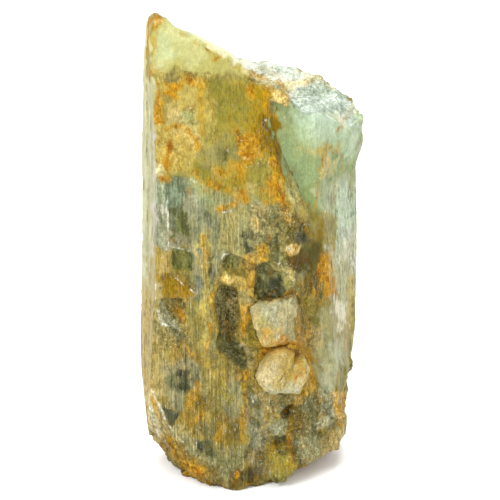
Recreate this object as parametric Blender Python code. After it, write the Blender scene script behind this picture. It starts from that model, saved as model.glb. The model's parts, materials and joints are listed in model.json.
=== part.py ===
"""A broken beryl crystal, 97 mm tall, with two pieces of feldspar grown into its front.

The crystal stands on a flat patch of its broken base. +Z is up, along the prism, and the side
that the photograph shows faces -Y. The origin is under the middle of the crystal, on the ground.
Shapes that the photograph shows are named by their pixels in it and laid onto the face that
carries them, by the same view that the picture was taken from.
"""

import math
import random

import bmesh
import bpy
from mathutils import Matrix, Vector, noise

MM = 0.001

# The view of the photograph, which is 500 pixels square
PHOTO_MIDDLE = 250
VIEW_TARGET = Vector((-0.5, 1.1, 44.3)) * MM
VIEW_DISTANCE = 600 * MM
VIEW_ELEVATION = math.radians(20)
PIXELS_PER_METRE_AT_TARGET = 5000

# The flat ridges along the prism's faces, and the gap around the feldspar
STRIATION_WIDTH = (1.1 * MM, 3.0 * MM)
STRIATION_DEPTH = 0.38 * MM
STRIATION_RISER = 0.18 * MM
SOCKET_GAP = 0.35 * MM

# Plan of the prism, anticlockwise from its left front edge: corner, x, y
CORNERS = (
    ("left_front", -18.9, -12.1),
    ("front", -1.5, -16.8),
    ("front_right", 8.0, -15.4),
    ("right_front", 15.0, -8.3),
    ("right", 21.0, 9.1),
    ("right_back", 19.4, 14.0),
    ("back", -2.6, 19.3),
    ("left", -21.9, 0.1),
)
# How far a corner leaves that plan on the way up: height, x, y
LEANS = {
    "left_front": ((0, -2.0, 0.3), (20, -1.5, 0.2), (40, -0.5, 0), (55, 0.4, 0), (75, 0, 0), (98, -1.3, 0.6)),
    "left": ((0, 0.6, 0), (8, 0.4, 0), (13, -0.2, 0), (18, -0.6, 0), (25, -0.7, 0), (45, -0.3, 0),
             (66, 0, 0), (84, 0.5, 0), (92, 1.2, 0)),
    "right_front": ((0, 2.6, 0), (16, 2.1, 0), (58, -1.2, 0), (80, -1.6, -0.4)),
    "right": ((0, -2.3, 0), (5, -2.3, 0), (8, -1.6, 0), (13, -2.5, 0), (18, -0.7, 0), (25, 0.1, 0),
              (45, 0.2, 0), (62, -0.2, 0), (66, 0.7, -1), (70, 1.1, -2), (74, 0.6, -1)),
    "right_back": ((0, -0.8, 0), (45, 0, 0), (70, 0.6, 0)),
}
# Heights at which the plan is drawn: the last one is above the broken top
STATIONS = (0, 5, 8, 13, 18, 25, 45, 55, 62, 66, 70, 84, 92, 104)
MID_HEIGHT = 40

# Faces that carry details: azimuth of the normal from the viewer's side, distance from the axis
FRONT_LEFT = (-15, 16.59)
FRONT = (8, 16.41)
FRONT_RIGHT = (42, 16.68)
BLUE_FACE = (22, 13.78)

# The broken top, as heights read along its rims: x, y, z
TOP_BREAK = (
    (-21.0, -8.4, 95.6), (-19.3, -11.5, 97.6), (-17.2, -12.1, 96.8), (-13.8, -13.5, 94.0),
    (-10.0, -14.3, 92.3), (-6.2, -15.1, 90.7), (-2.8, -15.9, 88.4), (1.8, -16.5, 83.9),
    (5.8, -13.9, 81.6), (7.4, -11.9, 78.3), (10.0, -10.9, 76.8), (13.2, -8.5, 74.9),
    (16.5, -5.9, 73.2), (19.5, 3.1, 69.6), (21.5, 8.1, 70.3), (19.6, 13.6, 71.8),
    (16.6, 14.4, 73.9), (13.2, 15.4, 75.8), (10.2, 16.3, 76.8), (6.1, 17.1, 78.0), (1.9, 18.1, 78.4),
    (-2.8, 18.6, 79.0), (-6.3, 15.1, 81.2), (-10.0, 12.0, 84.0), (-16.0, 6.1, 88.0), (-21.0, 0.1, 92.6),
    (-12.0, -4.9, 87.5), (-6.0, 3.1, 81.5), (0.0, 9.1, 77.0), (2.0, -4.9, 79.5), (8.0, 3.1, 75.4),
    (14.0, 5.1, 73.8),
)
# The flat patch that the crystal stands on, anticlockwise: x, y
REST_PATCH = ((-9.0, -14.7), (-5.6, -17.5), (0.5, -15.1), (6.0, -10.9), (11.0, -1.9),
              (13.5, 8.1), (-1.0, 14.1), (-14.5, 3.1), (-13.5, -7.4))
# How the heights above blend between the places: a higher pull keeps each one's own height wider
RIM_PULL = 1.6
RIM_ROUNDING = 0.5
# Right of this place the top is broken in steps of this height
ICY_SIDE = 3.0
ICY_STEP = 0.8
# How high and how steeply the underside rises around the flat patch
UNDERCUT = 5.0
UNDERCUT_SLOPE = 0.68
# Zones where the prism's surface has come off, each drawn on an upright plane, anticlockwise:
# azimuth of the plane, then sideways place and height of each corner
FRONT_ZONE = (42, ((-11.8, -4), (8.2, -4), (7.2, 10), (4.2, 22), (-1.3, 38), (-7.3, 53),
                   (-10.8, 58), (-12.8, 40)))
BACK_ZONE = (165, ((-9.7, -4), (7.3, -4), (6.3, 16), (0.3, 25), (-7.7, 19)))
CHIP_DEPTH = 0.7
# The blocks that cut the top and the base: their span around the axis, and the size of a facet
CUT_LOW, CUT_HIGH = (-30, -26), (30, 26)
TOP_FACET = 2.3
BASE_FACET = 2.4
CHIP_FACET = 1.6
FACET_JITTER = 0.38
# Planes that take off corners: a point on each in mm, and the way its plane looks
CHAMFERS = (
    ((-19.6, -11.8, 14.5), (-1.0, -0.65, -0.62)),
    ((-14.5, -13.3, 4.3), (-0.72, -0.8, -1.2)),
    ((-19.9, -10.4, 92.0), (-1.0, -0.25, 0.22)),
    ((19.4, 10.1, 9.0), (1.0, 0.5, -0.8)),
)

# Pits and recesses: face, depth, size of the floor to the mouth, shift of the floor in pixels,
# and the mouth's outline in pixels
PITS = {
    "long_cavity": (FRONT_LEFT, 3.6, 0.62, (2, -2), (
        (219, 283), (227, 285), (236, 288), (239, 305), (241, 322), (239, 336), (248, 352), (254, 370),
        (247, 372), (236, 366), (221, 357), (216, 346), (218, 332), (214, 312), (213, 298))),
    "upper_pocket": (FRONT_LEFT, 1.3, 0.7, (0, 0), (
        (221, 262), (227, 254), (236, 256), (245, 259), (249, 268), (244, 276), (232, 274), (224, 272))),
    "green_window": (FRONT_LEFT, 0.5, 0.88, (0, -3), (
        (158, 174), (168, 172), (184, 190), (195, 214), (195, 249), (168, 246), (160, 236))),
    "small_window": (FRONT_LEFT, 0.7, 0.8, (0, -1), ((172, 254), (189, 256), (190, 270), (174, 272))),
    "dark_window": (FRONT, 1.7, 0.8, (0, -3), (
        (256, 268), (266, 262), (279, 274), (284, 288), (279, 296), (266, 300), (253, 303))),
    "left_notch": (FRONT_LEFT, 2.4, 0.5, (2, -4), (
        (157, 298), (170, 299), (184, 302), (190, 306), (178, 312), (180, 322), (185, 334), (177, 336),
        (168, 328), (160, 314))),
    "low_pit": (FRONT, 2.6, 0.5, (0, -2), (
        (272, 444), (277, 438), (287, 438), (291, 445), (287, 451), (276, 452))),
    "deep_pit": (FRONT, 4.2, 0.4, (0, -2), (
        (280, 414), (286, 408), (294, 404), (297, 412), (290, 420), (284, 420))),
    "base_notch": (FRONT_RIGHT, 2.2, 0.6, (0, 0), (
        (296, 452), (304, 462), (300, 474), (294, 472), (293, 460))),
}
# The smooth blue face lies back from the left side's ledge: the ledge's upper and lower lines
BLUE_DEPTH = 2.4
BLUE_MOUTH = ((261, 70), (261, 121), (272, 152), (283, 186), (300, 216), (320, 243), (327, 214), (327, 70))
BLUE_FLOOR = ((273, 70), (272, 118), (280, 146), (293, 176), (306, 198), (319, 228), (326, 205), (326, 70))
# Pieces that stand proud: face, outline, then size and lift in mm of each level from the root up
RIM_CHIP = (FRONT, (
    (264, 86), (274, 87), (284, 92), (292, 100), (288, 107), (278, 105), (268, 98)),
    ((1, -4.0), (1, -0.7), (0.7, 0.1)))
LOWER_LOBE = (FRONT, (
    (270, 452), (280, 447), (292, 450), (297, 462), (296, 471), (288, 478), (276, 482), (268, 476)),
    ((1, -4.0), (1, 0.2), (0.72, 1.2)))
FELDSPAR_LEFT = (FRONT, (
    (256, 376), (261, 364), (268, 356), (276, 349), (285, 346), (293, 351), (291, 362), (286, 372),
    (281, 387), (273, 391), (264, 387)),
    ((0.8, -4.0), (1, -1.0), (1, 1.6), (0.72, 3.1)))
FELDSPAR_RIGHT = (FRONT, (
    (270, 389), (280, 372), (288, 360), (294, 358), (303, 357), (308, 368), (305, 377), (300, 387),
    (298, 391)),
    ((0.8, -4.2), (1, -1.3), (1, 1.0), (0.7, 2.4)))
FELDSPAR_BLOCK = (FRONT, (
    (250, 306), (262, 301), (276, 299), (287, 297), (291, 292), (297, 301), (299, 313), (302, 330),
    (303, 344), (290, 341), (275, 344), (263, 344), (258, 334), (254, 321)),
    ((0.8, -4.5), (1, -1.5), (1, 0.8), (0.8, 1.7)))


def view_axes():
    """The photograph's right, up and forward directions."""
    c, s = math.cos(VIEW_ELEVATION), math.sin(VIEW_ELEVATION)
    return Vector((1, 0, 0)), Vector((0, s, c)), Vector((0, c, -s))


def outward(azimuth):
    """The level direction that a face at this azimuth looks to; 0 is towards the viewer."""
    a = math.radians(azimuth)
    return Vector((math.sin(a), -math.cos(a), 0))


def seen_on(face, u, v, lift=0.0):
    """The point of an upright face, lifted off it by a distance in mm, that pixel u, v shows."""
    azimuth, distance = face
    right, up, forward = view_axes()
    eye = VIEW_TARGET - VIEW_DISTANCE * forward
    focal = VIEW_DISTANCE * PIXELS_PER_METRE_AT_TARGET
    ray = forward + (u - PHOTO_MIDDLE) / focal * right - (v - PHOTO_MIDDLE) / focal * up
    normal = outward(azimuth)
    reach = (distance * MM - normal.dot(eye)) / normal.dot(ray)
    return eye + reach * ray + normal * lift * MM


def along(stops, value):
    """Values read between stops of (position, value, ...), held level past both ends."""
    if value <= stops[0][0]:
        return stops[0][1:]
    for low, high in zip(stops, stops[1:]):
        if value <= high[0]:
            share = (value - low[0]) / (high[0] - low[0])
            return tuple(a + (b - a) * share for a, b in zip(low[1:], high[1:]))
    return stops[-1][1:]


def new_object(name, bm, material=None):
    """A mesh object from a bmesh, with its faces turned outwards."""
    bmesh.ops.recalc_face_normals(bm, faces=bm.faces)
    mesh = bpy.data.meshes.new(name)
    bm.to_mesh(mesh)
    bm.free()
    if material:
        mesh.materials.append(material)
    obj = bpy.data.objects.new(name, mesh)
    bpy.context.scene.collection.objects.link(obj)
    return obj


def finish(name, colour, roughness, transmission=0.0):
    """A plain non-metallic material."""
    material = bpy.data.materials.new(name)
    material.use_nodes = True
    shader = material.node_tree.nodes["Principled BSDF"]
    shader.inputs["Base Color"].default_value = (*colour, 1)
    shader.inputs["Roughness"].default_value = roughness
    shader.inputs["Metallic"].default_value = 0
    shader.inputs["Transmission Weight"].default_value = transmission
    shader.inputs["IOR"].default_value = 1.57
    return material


def stack_of_rings(rings):
    """A closed bmesh through rings of points, each ring with the same number of points."""
    bm = bmesh.new()
    made = [[bm.verts.new(point) for point in ring] for ring in rings]
    for low, high in zip(made, made[1:]):
        for i in range(len(low)):
            j = (i + 1) % len(low)
            bm.faces.new((low[i], low[j], high[j], high[i]))
    bm.faces.new(reversed(made[0]))
    bm.faces.new(made[-1])
    return bm


def modify(target, tool, operation):
    """Cuts the tool from the target, or joins it on, and hides the tool."""
    step = target.modifiers.new(tool.name, "BOOLEAN")
    step.object = tool
    step.operation = operation
    step.solver = "EXACT"
    tool.hide_render = True
    tool.display_type = "WIRE"


# The prism, ridged along its length


def corner_at(name, x, y, height):
    """A corner of the prism at a height in mm, as x and y in metres."""
    dx, dy = along(LEANS[name], height) if name in LEANS else (0, 0)
    return Vector(((x + dx) * MM, (y + dy) * MM, height * MM))


def striations(length, rng):
    """Places along a face, as shares of its length, and how far back the face lies there."""
    stops = [(0.0, 0.0)]
    place, back = 0.0, 0.0
    while True:
        place += rng.uniform(*STRIATION_WIDTH)
        if place > length - STRIATION_WIDTH[0]:
            return stops
        stops.append((place / length, back))
        back = rng.random() ** 1.5 * STRIATION_DEPTH
        stops.append(((place + STRIATION_RISER) / length, back))


def prism(material):
    """The striated prism, taller than the crystal and with a flat end at the ground."""
    rng = random.Random(11)
    sides = list(zip(CORNERS, CORNERS[1:] + CORNERS[:1]))
    patterns = []
    for start, end in sides:
        length = (corner_at(*end, MID_HEIGHT) - corner_at(*start, MID_HEIGHT)).length
        patterns.append(striations(length, rng))
    rings = []
    for height in STATIONS:
        ring = []
        for (start, end), pattern in zip(sides, patterns):
            a, b = corner_at(*start, height), corner_at(*end, height)
            inward = Vector((a.y - b.y, b.x - a.x, 0)).normalized()
            ring += [a.lerp(b, share) + inward * back for share, back in pattern]
        rings.append(ring)
    return new_object("beryl_crystal", stack_of_rings(rings), material)


# Breaks: blocks with one rough face, which cut the prism


def rough_block(name, frame, low, high, cell, height, far, seed):
    """A block over a grid in the frame's first two axes, from height(a, b) along the third to far.

    All numbers are in mm. The grid's inner points are moved a little, so the break has no rows.
    """
    rng = random.Random(seed)
    counts = [max(2, round((high[k] - low[k]) / cell)) for k in (0, 1)]
    steps = [(high[k] - low[k]) / counts[k] for k in (0, 1)]
    bm = bmesh.new()
    grid = {}
    for i in range(counts[0] + 1):
        for j in range(counts[1] + 1):
            inner = 0 < i < counts[0] and 0 < j < counts[1]
            jitter = FACET_JITTER if inner else 0
            a = low[0] + steps[0] * (i + rng.uniform(-jitter, jitter))
            b = low[1] + steps[1] * (j + rng.uniform(-jitter, jitter))
            grid[i, j] = bm.verts.new((a * MM, b * MM, height(a, b) * MM))
    for i in range(counts[0]):
        for j in range(counts[1]):
            bm.faces.new((grid[i, j], grid[i + 1, j], grid[i + 1, j + 1], grid[i, j + 1]))
    rough = list(bm.faces)
    raised = bmesh.ops.extrude_face_region(bm, geom=rough, use_keep_orig=True)["geom"]
    for vert in (g for g in raised if isinstance(g, bmesh.types.BMVert)):
        vert.co.z = far * MM
    bmesh.ops.triangulate(bm, faces=[f for f in bm.faces if abs(f.normal.z) > 0.01])
    bmesh.ops.transform(bm, matrix=frame, verts=bm.verts)
    return new_object(name, bm)


def facet_noise(a, b, scale, seed):
    """A smooth value from -1 to 1 that changes over about scale mm."""
    return noise.noise(Vector((a / scale, b / scale, seed * 7.3)))


def top_height(x, y):
    """The height of the broken top at x, y, from the heights read along its rims."""
    total = weight = 0.0
    for px, py, pz in TOP_BREAK:
        w = 1 / (((x - px) ** 2 + (y - py) ** 2) ** RIM_PULL + RIM_ROUNDING)
        total += w * pz
        weight += w
    plain = total / weight + 0.25 * facet_noise(x, y, 4.0, 1)
    if x < ICY_SIDE:
        return plain
    steps = round(facet_noise(x, y, 5.5, 6) / ICY_STEP * 2) * ICY_STEP
    return plain + steps + 0.4 * facet_noise(x, y, 2.6, 7)


def outside(outline, x, y):
    """How far x, y lies outside a convex, anticlockwise outline; negative inside it."""
    far = -math.inf
    for (ax, ay), (bx, by) in zip(outline, outline[1:] + outline[:1]):
        length = math.hypot(bx - ax, by - ay)
        far = max(far, ((x - ax) * (by - ay) - (y - ay) * (bx - ax)) / length)
    return far


def base_height(x, y):
    """The underside: below the ground over the flat patch, and broken upwards around it."""
    far = outside(REST_PATCH, x, y)
    if far <= 0:
        return -0.3
    return min(UNDERCUT, far * UNDERCUT_SLOPE) + 0.6 * facet_noise(x, y, 3.5, 2)


def reach(azimuth, a, height):
    """How far out the whole prism goes along a direction, at the place a to its right."""
    normal = outward(azimuth)
    sideways = Vector((-normal.y, normal.x, 0))
    points = [corner_at(*corner, height) for corner in CORNERS]
    best = -math.inf
    for p, q in zip(points, points[1:] + points[:1]):
        low, high = p.dot(sideways) / MM, q.dot(sideways) / MM
        if min(low, high) <= a <= max(low, high) and low != high:
            share = (a - low) / (high - low)
            best = max(best, p.lerp(q, share).dot(normal) / MM)
    return best


def chipped_height(zone, seed):
    """The rough surface of a zone, as a function that gives its distance from the axis."""
    azimuth, outline = zone

    def height(a, b):
        whole = reach(azimuth, a, b)
        if whole == -math.inf:
            return 0
        if outside(outline, a, b) > 0:
            return whole + 1.5
        depth = CHIP_DEPTH + 1.3 * facet_noise(a, b, 5.2, seed) + 0.8 * facet_noise(a, b, 2.6, seed + 1)
        return whole - max(depth, 0.05)

    return height


def chip_block(name, zone, seed):
    """The cutter of a rough zone."""
    azimuth, outline = zone
    normal = outward(azimuth)
    sideways = Vector((-normal.y, normal.x, 0))
    frame = Matrix((sideways, Vector((0, 0, 1)), normal)).transposed().to_4x4()
    low = [min(point[k] for point in outline) - 2 * CHIP_FACET for k in (0, 1)]
    high = [max(point[k] for point in outline) + 2 * CHIP_FACET for k in (0, 1)]
    return rough_block(name, frame, low, high, CHIP_FACET, chipped_height(zone, seed), CUT_HIGH[0], seed)


def break_cutters():
    """The rough blocks that take away the top, the underside and the chipped zones."""
    level = Matrix.Identity(4)
    above, below = STATIONS[-1] + 20, -12
    yield rough_block("top_break", level, CUT_LOW, CUT_HIGH, TOP_FACET, top_height, above, 21)
    yield rough_block("base_break", level, CUT_LOW, CUT_HIGH, BASE_FACET, base_height, below, 22)
    yield chip_block("front_chips", FRONT_ZONE, 4)
    yield chip_block("back_chips", BACK_ZONE, 8)


# Details laid onto the faces


def shrunk(outline, share, shift=(0, 0)):
    """The outline pulled towards its middle, and moved by a few pixels."""
    mid_u = sum(u for u, v in outline) / len(outline)
    mid_v = sum(v for u, v in outline) / len(outline)
    return [
        (mid_u + (u - mid_u) * share + shift[0], mid_v + (v - mid_v) * share + shift[1])
        for u, v in outline
    ]


def block_between(name, face, levels):
    """A closed block through outlines in pixels, each at its own lift in mm off the face."""
    rings = [[seen_on(face, u, v, lift) for u, v in outline] for outline, lift in levels]
    return new_object(name, stack_of_rings(rings))


def pit(name, face, depth, floor, shift, outline):
    """A cutter for a pit whose mouth has this outline and whose floor is a smaller copy."""
    levels = ((shrunk(outline, 1.12), 3.0), (outline, 0.0), (shrunk(outline, floor, shift), -depth))
    return block_between(name, face, levels)


def proud(name, face, outline, levels):
    """A block that stands out of a face, through copies of one outline."""
    return block_between(name, face, [(shrunk(outline, share), lift) for share, lift in levels])


def blue_face_cutter():
    """Takes the right side back to the smooth blue face, with a sloping ledge along its left."""
    levels = ((BLUE_MOUTH, 2 * BLUE_DEPTH), (BLUE_MOUTH, BLUE_DEPTH), (BLUE_FLOOR, 0.0))
    return block_between("blue_face", BLUE_FACE, levels)


# Broken corners


def chamfer(bm, point, direction):
    """Cuts off what lies beyond a plane."""
    cut = bmesh.ops.bisect_plane(
        bm, geom=bm.verts[:] + bm.edges[:] + bm.faces[:], plane_co=Vector(point) * MM,
        plane_no=Vector(direction).normalized(), clear_outer=True,
    )
    rim = [g for g in cut["geom_cut"] if isinstance(g, bmesh.types.BMEdge)]
    bmesh.ops.contextual_create(bm, geom=rim)


def chamfer_corners(crystal):
    """Takes off the corners that are missing from the base and from the peak."""
    bm = bmesh.new()
    bm.from_mesh(crystal.data)
    for point, direction in CHAMFERS:
        chamfer(bm, point, direction)
    bmesh.ops.recalc_face_normals(bm, faces=bm.faces)
    bm.to_mesh(crystal.data)
    bm.free()


# Feldspar


def socket(grain):
    """A cutter with the grain's shape, larger by the gap all round."""
    cutter = grain.copy()
    cutter.data = grain.data.copy()
    cutter.name = grain.name + "_socket"
    bpy.context.scene.collection.objects.link(cutter)
    points = [v.co for v in cutter.data.vertices]
    low = Vector([min(p[k] for p in points) for k in range(3)])
    high = Vector([max(p[k] for p in points) for k in range(3)])
    middle, size = (low + high) / 2, high - low
    grow = Matrix.Diagonal([(size[k] + 2 * SOCKET_GAP) / size[k] for k in range(3)] + [1])
    cutter.data.transform(Matrix.Translation(middle) @ grow @ Matrix.Translation(-middle))
    return cutter


def main():
    for obj in list(bpy.data.objects):
        bpy.data.objects.remove(obj)
    beryl = finish("beryl", (0.42, 0.44, 0.26), 0.35, 0.3)
    feldspar = finish("feldspar", (0.72, 0.62, 0.38), 0.55)

    crystal = prism(beryl)
    chamfer_corners(crystal)
    pits = [pit(name, *values) for name, values in PITS.items()]
    for cutter in (*break_cutters(), blue_face_cutter(), *pits):
        modify(crystal, cutter, "DIFFERENCE")
    for name, values in (("rim_chip", RIM_CHIP), ("lower_lobe", LOWER_LOBE)):
        modify(crystal, proud(name, *values), "UNION")

    left = proud("feldspar_crystal", *FELDSPAR_LEFT)
    right = proud("feldspar_right_half", *FELDSPAR_RIGHT)
    block = proud("feldspar_block", *FELDSPAR_BLOCK)
    for grain in (left, right, block):
        grain.data.materials.append(feldspar)
        modify(crystal, socket(grain), "DIFFERENCE")
    modify(left, right, "UNION")


main()
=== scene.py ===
# %% [markdown]
# # A broken beryl crystal
#
# This lesson dresses the solid model of a stubby beryl crystal, 97 mm tall, with two grains of
# feldspar in its front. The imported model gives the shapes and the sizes. Everything here is looks:
# a finer skin over the same shapes, the stains and windows on it, and the light.

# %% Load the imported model
import json
import math
import random

import bmesh
import bpy
import numpy as np
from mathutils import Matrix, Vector, noise
from mathutils.bvhtree import BVHTree

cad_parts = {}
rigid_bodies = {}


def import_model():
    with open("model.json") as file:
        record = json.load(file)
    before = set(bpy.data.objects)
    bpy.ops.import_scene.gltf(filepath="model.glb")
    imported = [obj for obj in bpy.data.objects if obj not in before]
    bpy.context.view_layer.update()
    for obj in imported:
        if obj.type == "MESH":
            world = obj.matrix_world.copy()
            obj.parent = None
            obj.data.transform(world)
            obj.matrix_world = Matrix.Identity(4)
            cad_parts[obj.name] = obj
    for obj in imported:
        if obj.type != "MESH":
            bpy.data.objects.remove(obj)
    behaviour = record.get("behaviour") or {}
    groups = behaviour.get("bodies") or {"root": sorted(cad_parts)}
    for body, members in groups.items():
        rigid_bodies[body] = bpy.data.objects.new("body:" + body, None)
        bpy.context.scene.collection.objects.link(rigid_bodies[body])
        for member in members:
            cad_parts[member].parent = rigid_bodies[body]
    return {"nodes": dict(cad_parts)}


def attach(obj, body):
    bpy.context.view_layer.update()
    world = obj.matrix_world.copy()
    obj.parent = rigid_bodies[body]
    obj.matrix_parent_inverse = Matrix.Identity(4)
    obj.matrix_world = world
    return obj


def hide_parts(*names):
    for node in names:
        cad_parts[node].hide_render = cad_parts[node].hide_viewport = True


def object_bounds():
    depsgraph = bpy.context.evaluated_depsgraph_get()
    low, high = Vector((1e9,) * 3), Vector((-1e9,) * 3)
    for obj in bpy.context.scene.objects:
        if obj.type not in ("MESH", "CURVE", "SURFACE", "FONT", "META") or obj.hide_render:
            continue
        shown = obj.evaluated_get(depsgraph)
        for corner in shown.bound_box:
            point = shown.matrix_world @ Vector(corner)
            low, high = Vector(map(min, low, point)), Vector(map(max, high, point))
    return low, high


for obj in list(bpy.data.objects):
    bpy.data.objects.remove(obj)
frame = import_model()
cad_low, cad_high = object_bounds()
MM = 0.001
print("model box in mm:", [round(v / MM, 1) for v in (*cad_low, *cad_high)])

# %% [markdown]
# ## The camera
#
# The picture was taken from a little above, with a long lens. The camera stands 600 mm away and
# looks down by 20 degrees, and one millimetre at the crystal is five pixels of the photograph.
# The same numbers later lay marks onto the surface: a pixel names a ray, and the ray finds the
# surface.

# %% Camera
PHOTO_PIXELS = 500
VIEW_TARGET = Vector((-0.5, 1.1, 44.3)) * MM
VIEW_DISTANCE = 600 * MM
VIEW_ELEVATION = math.radians(20)
PIXELS_PER_MM = 5
MIDDLE_PIXEL = PHOTO_PIXELS / 2
SENSOR_WIDTH = 36
NEAR_CLIP = 10 * MM
RIGHT = Vector((1, 0, 0))
UP = Vector((0, math.sin(VIEW_ELEVATION), math.cos(VIEW_ELEVATION)))
AHEAD = Vector((0, math.cos(VIEW_ELEVATION), -math.sin(VIEW_ELEVATION)))
EYE = VIEW_TARGET - VIEW_DISTANCE * AHEAD
FOCAL_PIXELS = VIEW_DISTANCE / MM * PIXELS_PER_MM


def aim(obj, target):
    """Turns a camera or a light, which look along their own -Z, towards a point."""
    obj.rotation_euler = (target - obj.location).to_track_quat("-Z", "Y").to_euler()


camera_data = bpy.data.cameras.new("camera")
camera_data.sensor_width = SENSOR_WIDTH
camera_data.lens = SENSOR_WIDTH * FOCAL_PIXELS / PHOTO_PIXELS
camera_data.clip_start = NEAR_CLIP
camera = bpy.data.objects.new("camera", camera_data)
camera.location = EYE
aim(camera, VIEW_TARGET)
bpy.context.scene.collection.objects.link(camera)
bpy.context.scene.camera = camera
print("lens in mm:", camera_data.lens)

# %% [markdown]
# ## Floor and light
#
# The crystal stands on white paper in soft light. A white world lights it from all sides, a wide
# lamp from the upper left gives the faces their shading, and one behind makes thin edges glow.
# The plain view transform keeps the paper white.

# %% Floor and light
FLOOR_HALF = 3.0
PAPER_WHITE = 0.93
PAPER_ROUGHNESS = 0.9
WORLD_STRENGTH = 0.85
# Each lamp: its place, its width and its power.
LAMPS = {
    "key": ((-0.55, -0.75, 0.7), 0.4, 10.0),
    "fill": ((0.4, -0.95, 0.6), 0.8, 5.0),
    "top": ((0.0, 0.1, 1.1), 0.6, 6.5),
    "back": ((0.1, 0.75, 0.6), 0.5, 5.0),
}

bpy.context.scene.view_settings.view_transform = "Standard"
world = bpy.data.worlds.new("white room")
bpy.context.scene.world = world
world.use_nodes = True
world.node_tree.nodes["Background"].inputs["Color"].default_value = (1, 1, 1, 1)
world.node_tree.nodes["Background"].inputs["Strength"].default_value = WORLD_STRENGTH

for name, (place, size, power) in LAMPS.items():
    lamp_data = bpy.data.lights.new(name, "AREA")
    lamp_data.size = size
    lamp_data.energy = power
    lamp = bpy.data.objects.new(name, lamp_data)
    lamp.location = place
    aim(lamp, VIEW_TARGET)
    bpy.context.scene.collection.objects.link(lamp)
print("lamps:", list(LAMPS))

# %% The paper
bm = bmesh.new()
bmesh.ops.create_grid(bm, x_segments=1, y_segments=1, size=FLOOR_HALF)
floor_mesh = bpy.data.meshes.new("paper")
bm.to_mesh(floor_mesh)
bm.free()
floor = bpy.data.objects.new("paper", floor_mesh)
bpy.context.scene.collection.objects.link(floor)
paper = bpy.data.materials.new("paper")
paper.use_nodes = True
paper_shader = paper.node_tree.nodes["Principled BSDF"]
paper_shader.inputs["Base Color"].default_value = (PAPER_WHITE, PAPER_WHITE, PAPER_WHITE, 1)
paper_shader.inputs["Roughness"].default_value = PAPER_ROUGHNESS
floor_mesh.materials.append(paper)
print("paper:", 2 * FLOOR_HALF, "m wide")

# %% [markdown]
# ## A finer skin
#
# The solid model has a few thousand flat faces. A real crystal carries finer relief: ridges along
# the prism, small facets where it broke, crumbs of rust. So each node gets a new skin of small
# even squares, made by a voxel remesh, and each point is then put back onto the solid's surface.
# The side that the photograph shows is divided once more: a face is on that side where its
# direction leans towards the camera.

# %% Skin helpers
SKIN_CELL = 0.66 * MM
GRAIN_CELL = 0.3 * MM
MERGE = 1e-6
SEEN_LEAN = -0.12


def merged_copy(node):
    """A bmesh of a node with its loose triangles merged."""
    bm = bmesh.new()
    bm.from_mesh(frame["nodes"][node].data)
    bmesh.ops.remove_doubles(bm, verts=bm.verts, dist=MERGE)
    return bm


def voxel_skin(bm, name, cell):
    """A mesh object of even squares around the shape in a bmesh."""
    mesh = bpy.data.meshes.new(name)
    bm.to_mesh(mesh)
    rough = bpy.data.objects.new(name + "_plain", mesh)
    bpy.context.scene.collection.objects.link(rough)
    step = rough.modifiers.new("voxels", "REMESH")
    step.mode = "VOXEL"
    step.voxel_size = cell
    evaluated = rough.evaluated_get(bpy.context.evaluated_depsgraph_get())
    fine = bpy.data.meshes.new_from_object(evaluated)
    bpy.data.objects.remove(rough)
    fine.name = name
    skin = bpy.data.objects.new(name, fine)
    bpy.context.scene.collection.objects.link(skin)
    return skin


# %% Points of a mesh
def points_of(mesh):
    """The places of a mesh's points, as an array in metres."""
    flat = np.empty(len(mesh.vertices) * 3)
    mesh.vertices.foreach_get("co", flat)
    return flat.reshape(-1, 3)


def normals_of(mesh):
    """The directions that a mesh's points look in."""
    flat = np.empty(len(mesh.vertices) * 3)
    mesh.vertex_normals.foreach_get("vector", flat)
    return flat.reshape(-1, 3)


def put_points(mesh, points):
    """Moves a mesh's points."""
    mesh.vertices.foreach_set("co", points.ravel())
    mesh.update()


# %% Laying a skin on its solid
def divide_seen_side(skin):
    """Splits each square that faces the camera into four."""
    bm = bmesh.new()
    bm.from_mesh(skin.data)
    seen = {e for f in bm.faces if f.normal.dot(AHEAD) < SEEN_LEAN for e in f.edges}
    bmesh.ops.subdivide_edges(bm, edges=list(seen), cuts=1, use_grid_fill=True)
    bmesh.ops.triangulate(bm, faces=bm.faces)
    bm.to_mesh(skin.data)
    bm.free()


def lay_on(skin, solid):
    """Puts the skin's points onto the solid. Returns how the solid looks there, as directions."""
    points = points_of(skin.data)
    looks = np.empty_like(points)
    for i, point in enumerate(points):
        place, normal, _, _ = solid.find_nearest(Vector(point))
        points[i] = place
        looks[i] = normal
    put_points(skin.data, points)
    return looks


# %% Skins of the three nodes
PIECES = {"beryl_crystal": SKIN_CELL, "feldspar_crystal": GRAIN_CELL, "feldspar_block": GRAIN_CELL}
skins = {}
solid_looks = {}
for node, cell in PIECES.items():
    bm = merged_copy(node)
    solid = BVHTree.FromBMesh(bm)
    skins[node] = voxel_skin(bm, node + "_skin", cell)
    bm.free()
    if node == "beryl_crystal":
        divide_seen_side(skins[node])
    solid_looks[node] = lay_on(skins[node], solid)
    print(node, "skin:", len(skins[node].data.polygons), "faces")

# %% [markdown]
# ## Where things lie on the photographed side
#
# The crystal isn't one colour: rust has soaked into cracks, some patches are clear and dark, the
# right side is a clean pale blue-green. Each area is named by the pixels of the photograph that it
# covers. A patch is an outline, and a stroke is a line with a half width. Both become one value from
# 0 to 1 at each point of the skin, where 0.5 is the edge. The edges are bent by noise, because
# nothing on a crystal ends in a ruled line.

# %% Noise at points
def field(places, size, seed=0.0, stretch=1.0):
    """Smooth noise from -1 to 1 at places in mm; stretch makes it longer along the prism."""
    scaled = places / (size, size, size * stretch) + (seed * 3.7, seed * 9.1, seed * 5.3)
    return np.array([noise.noise(Vector(p)) for p in scaled])


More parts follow.
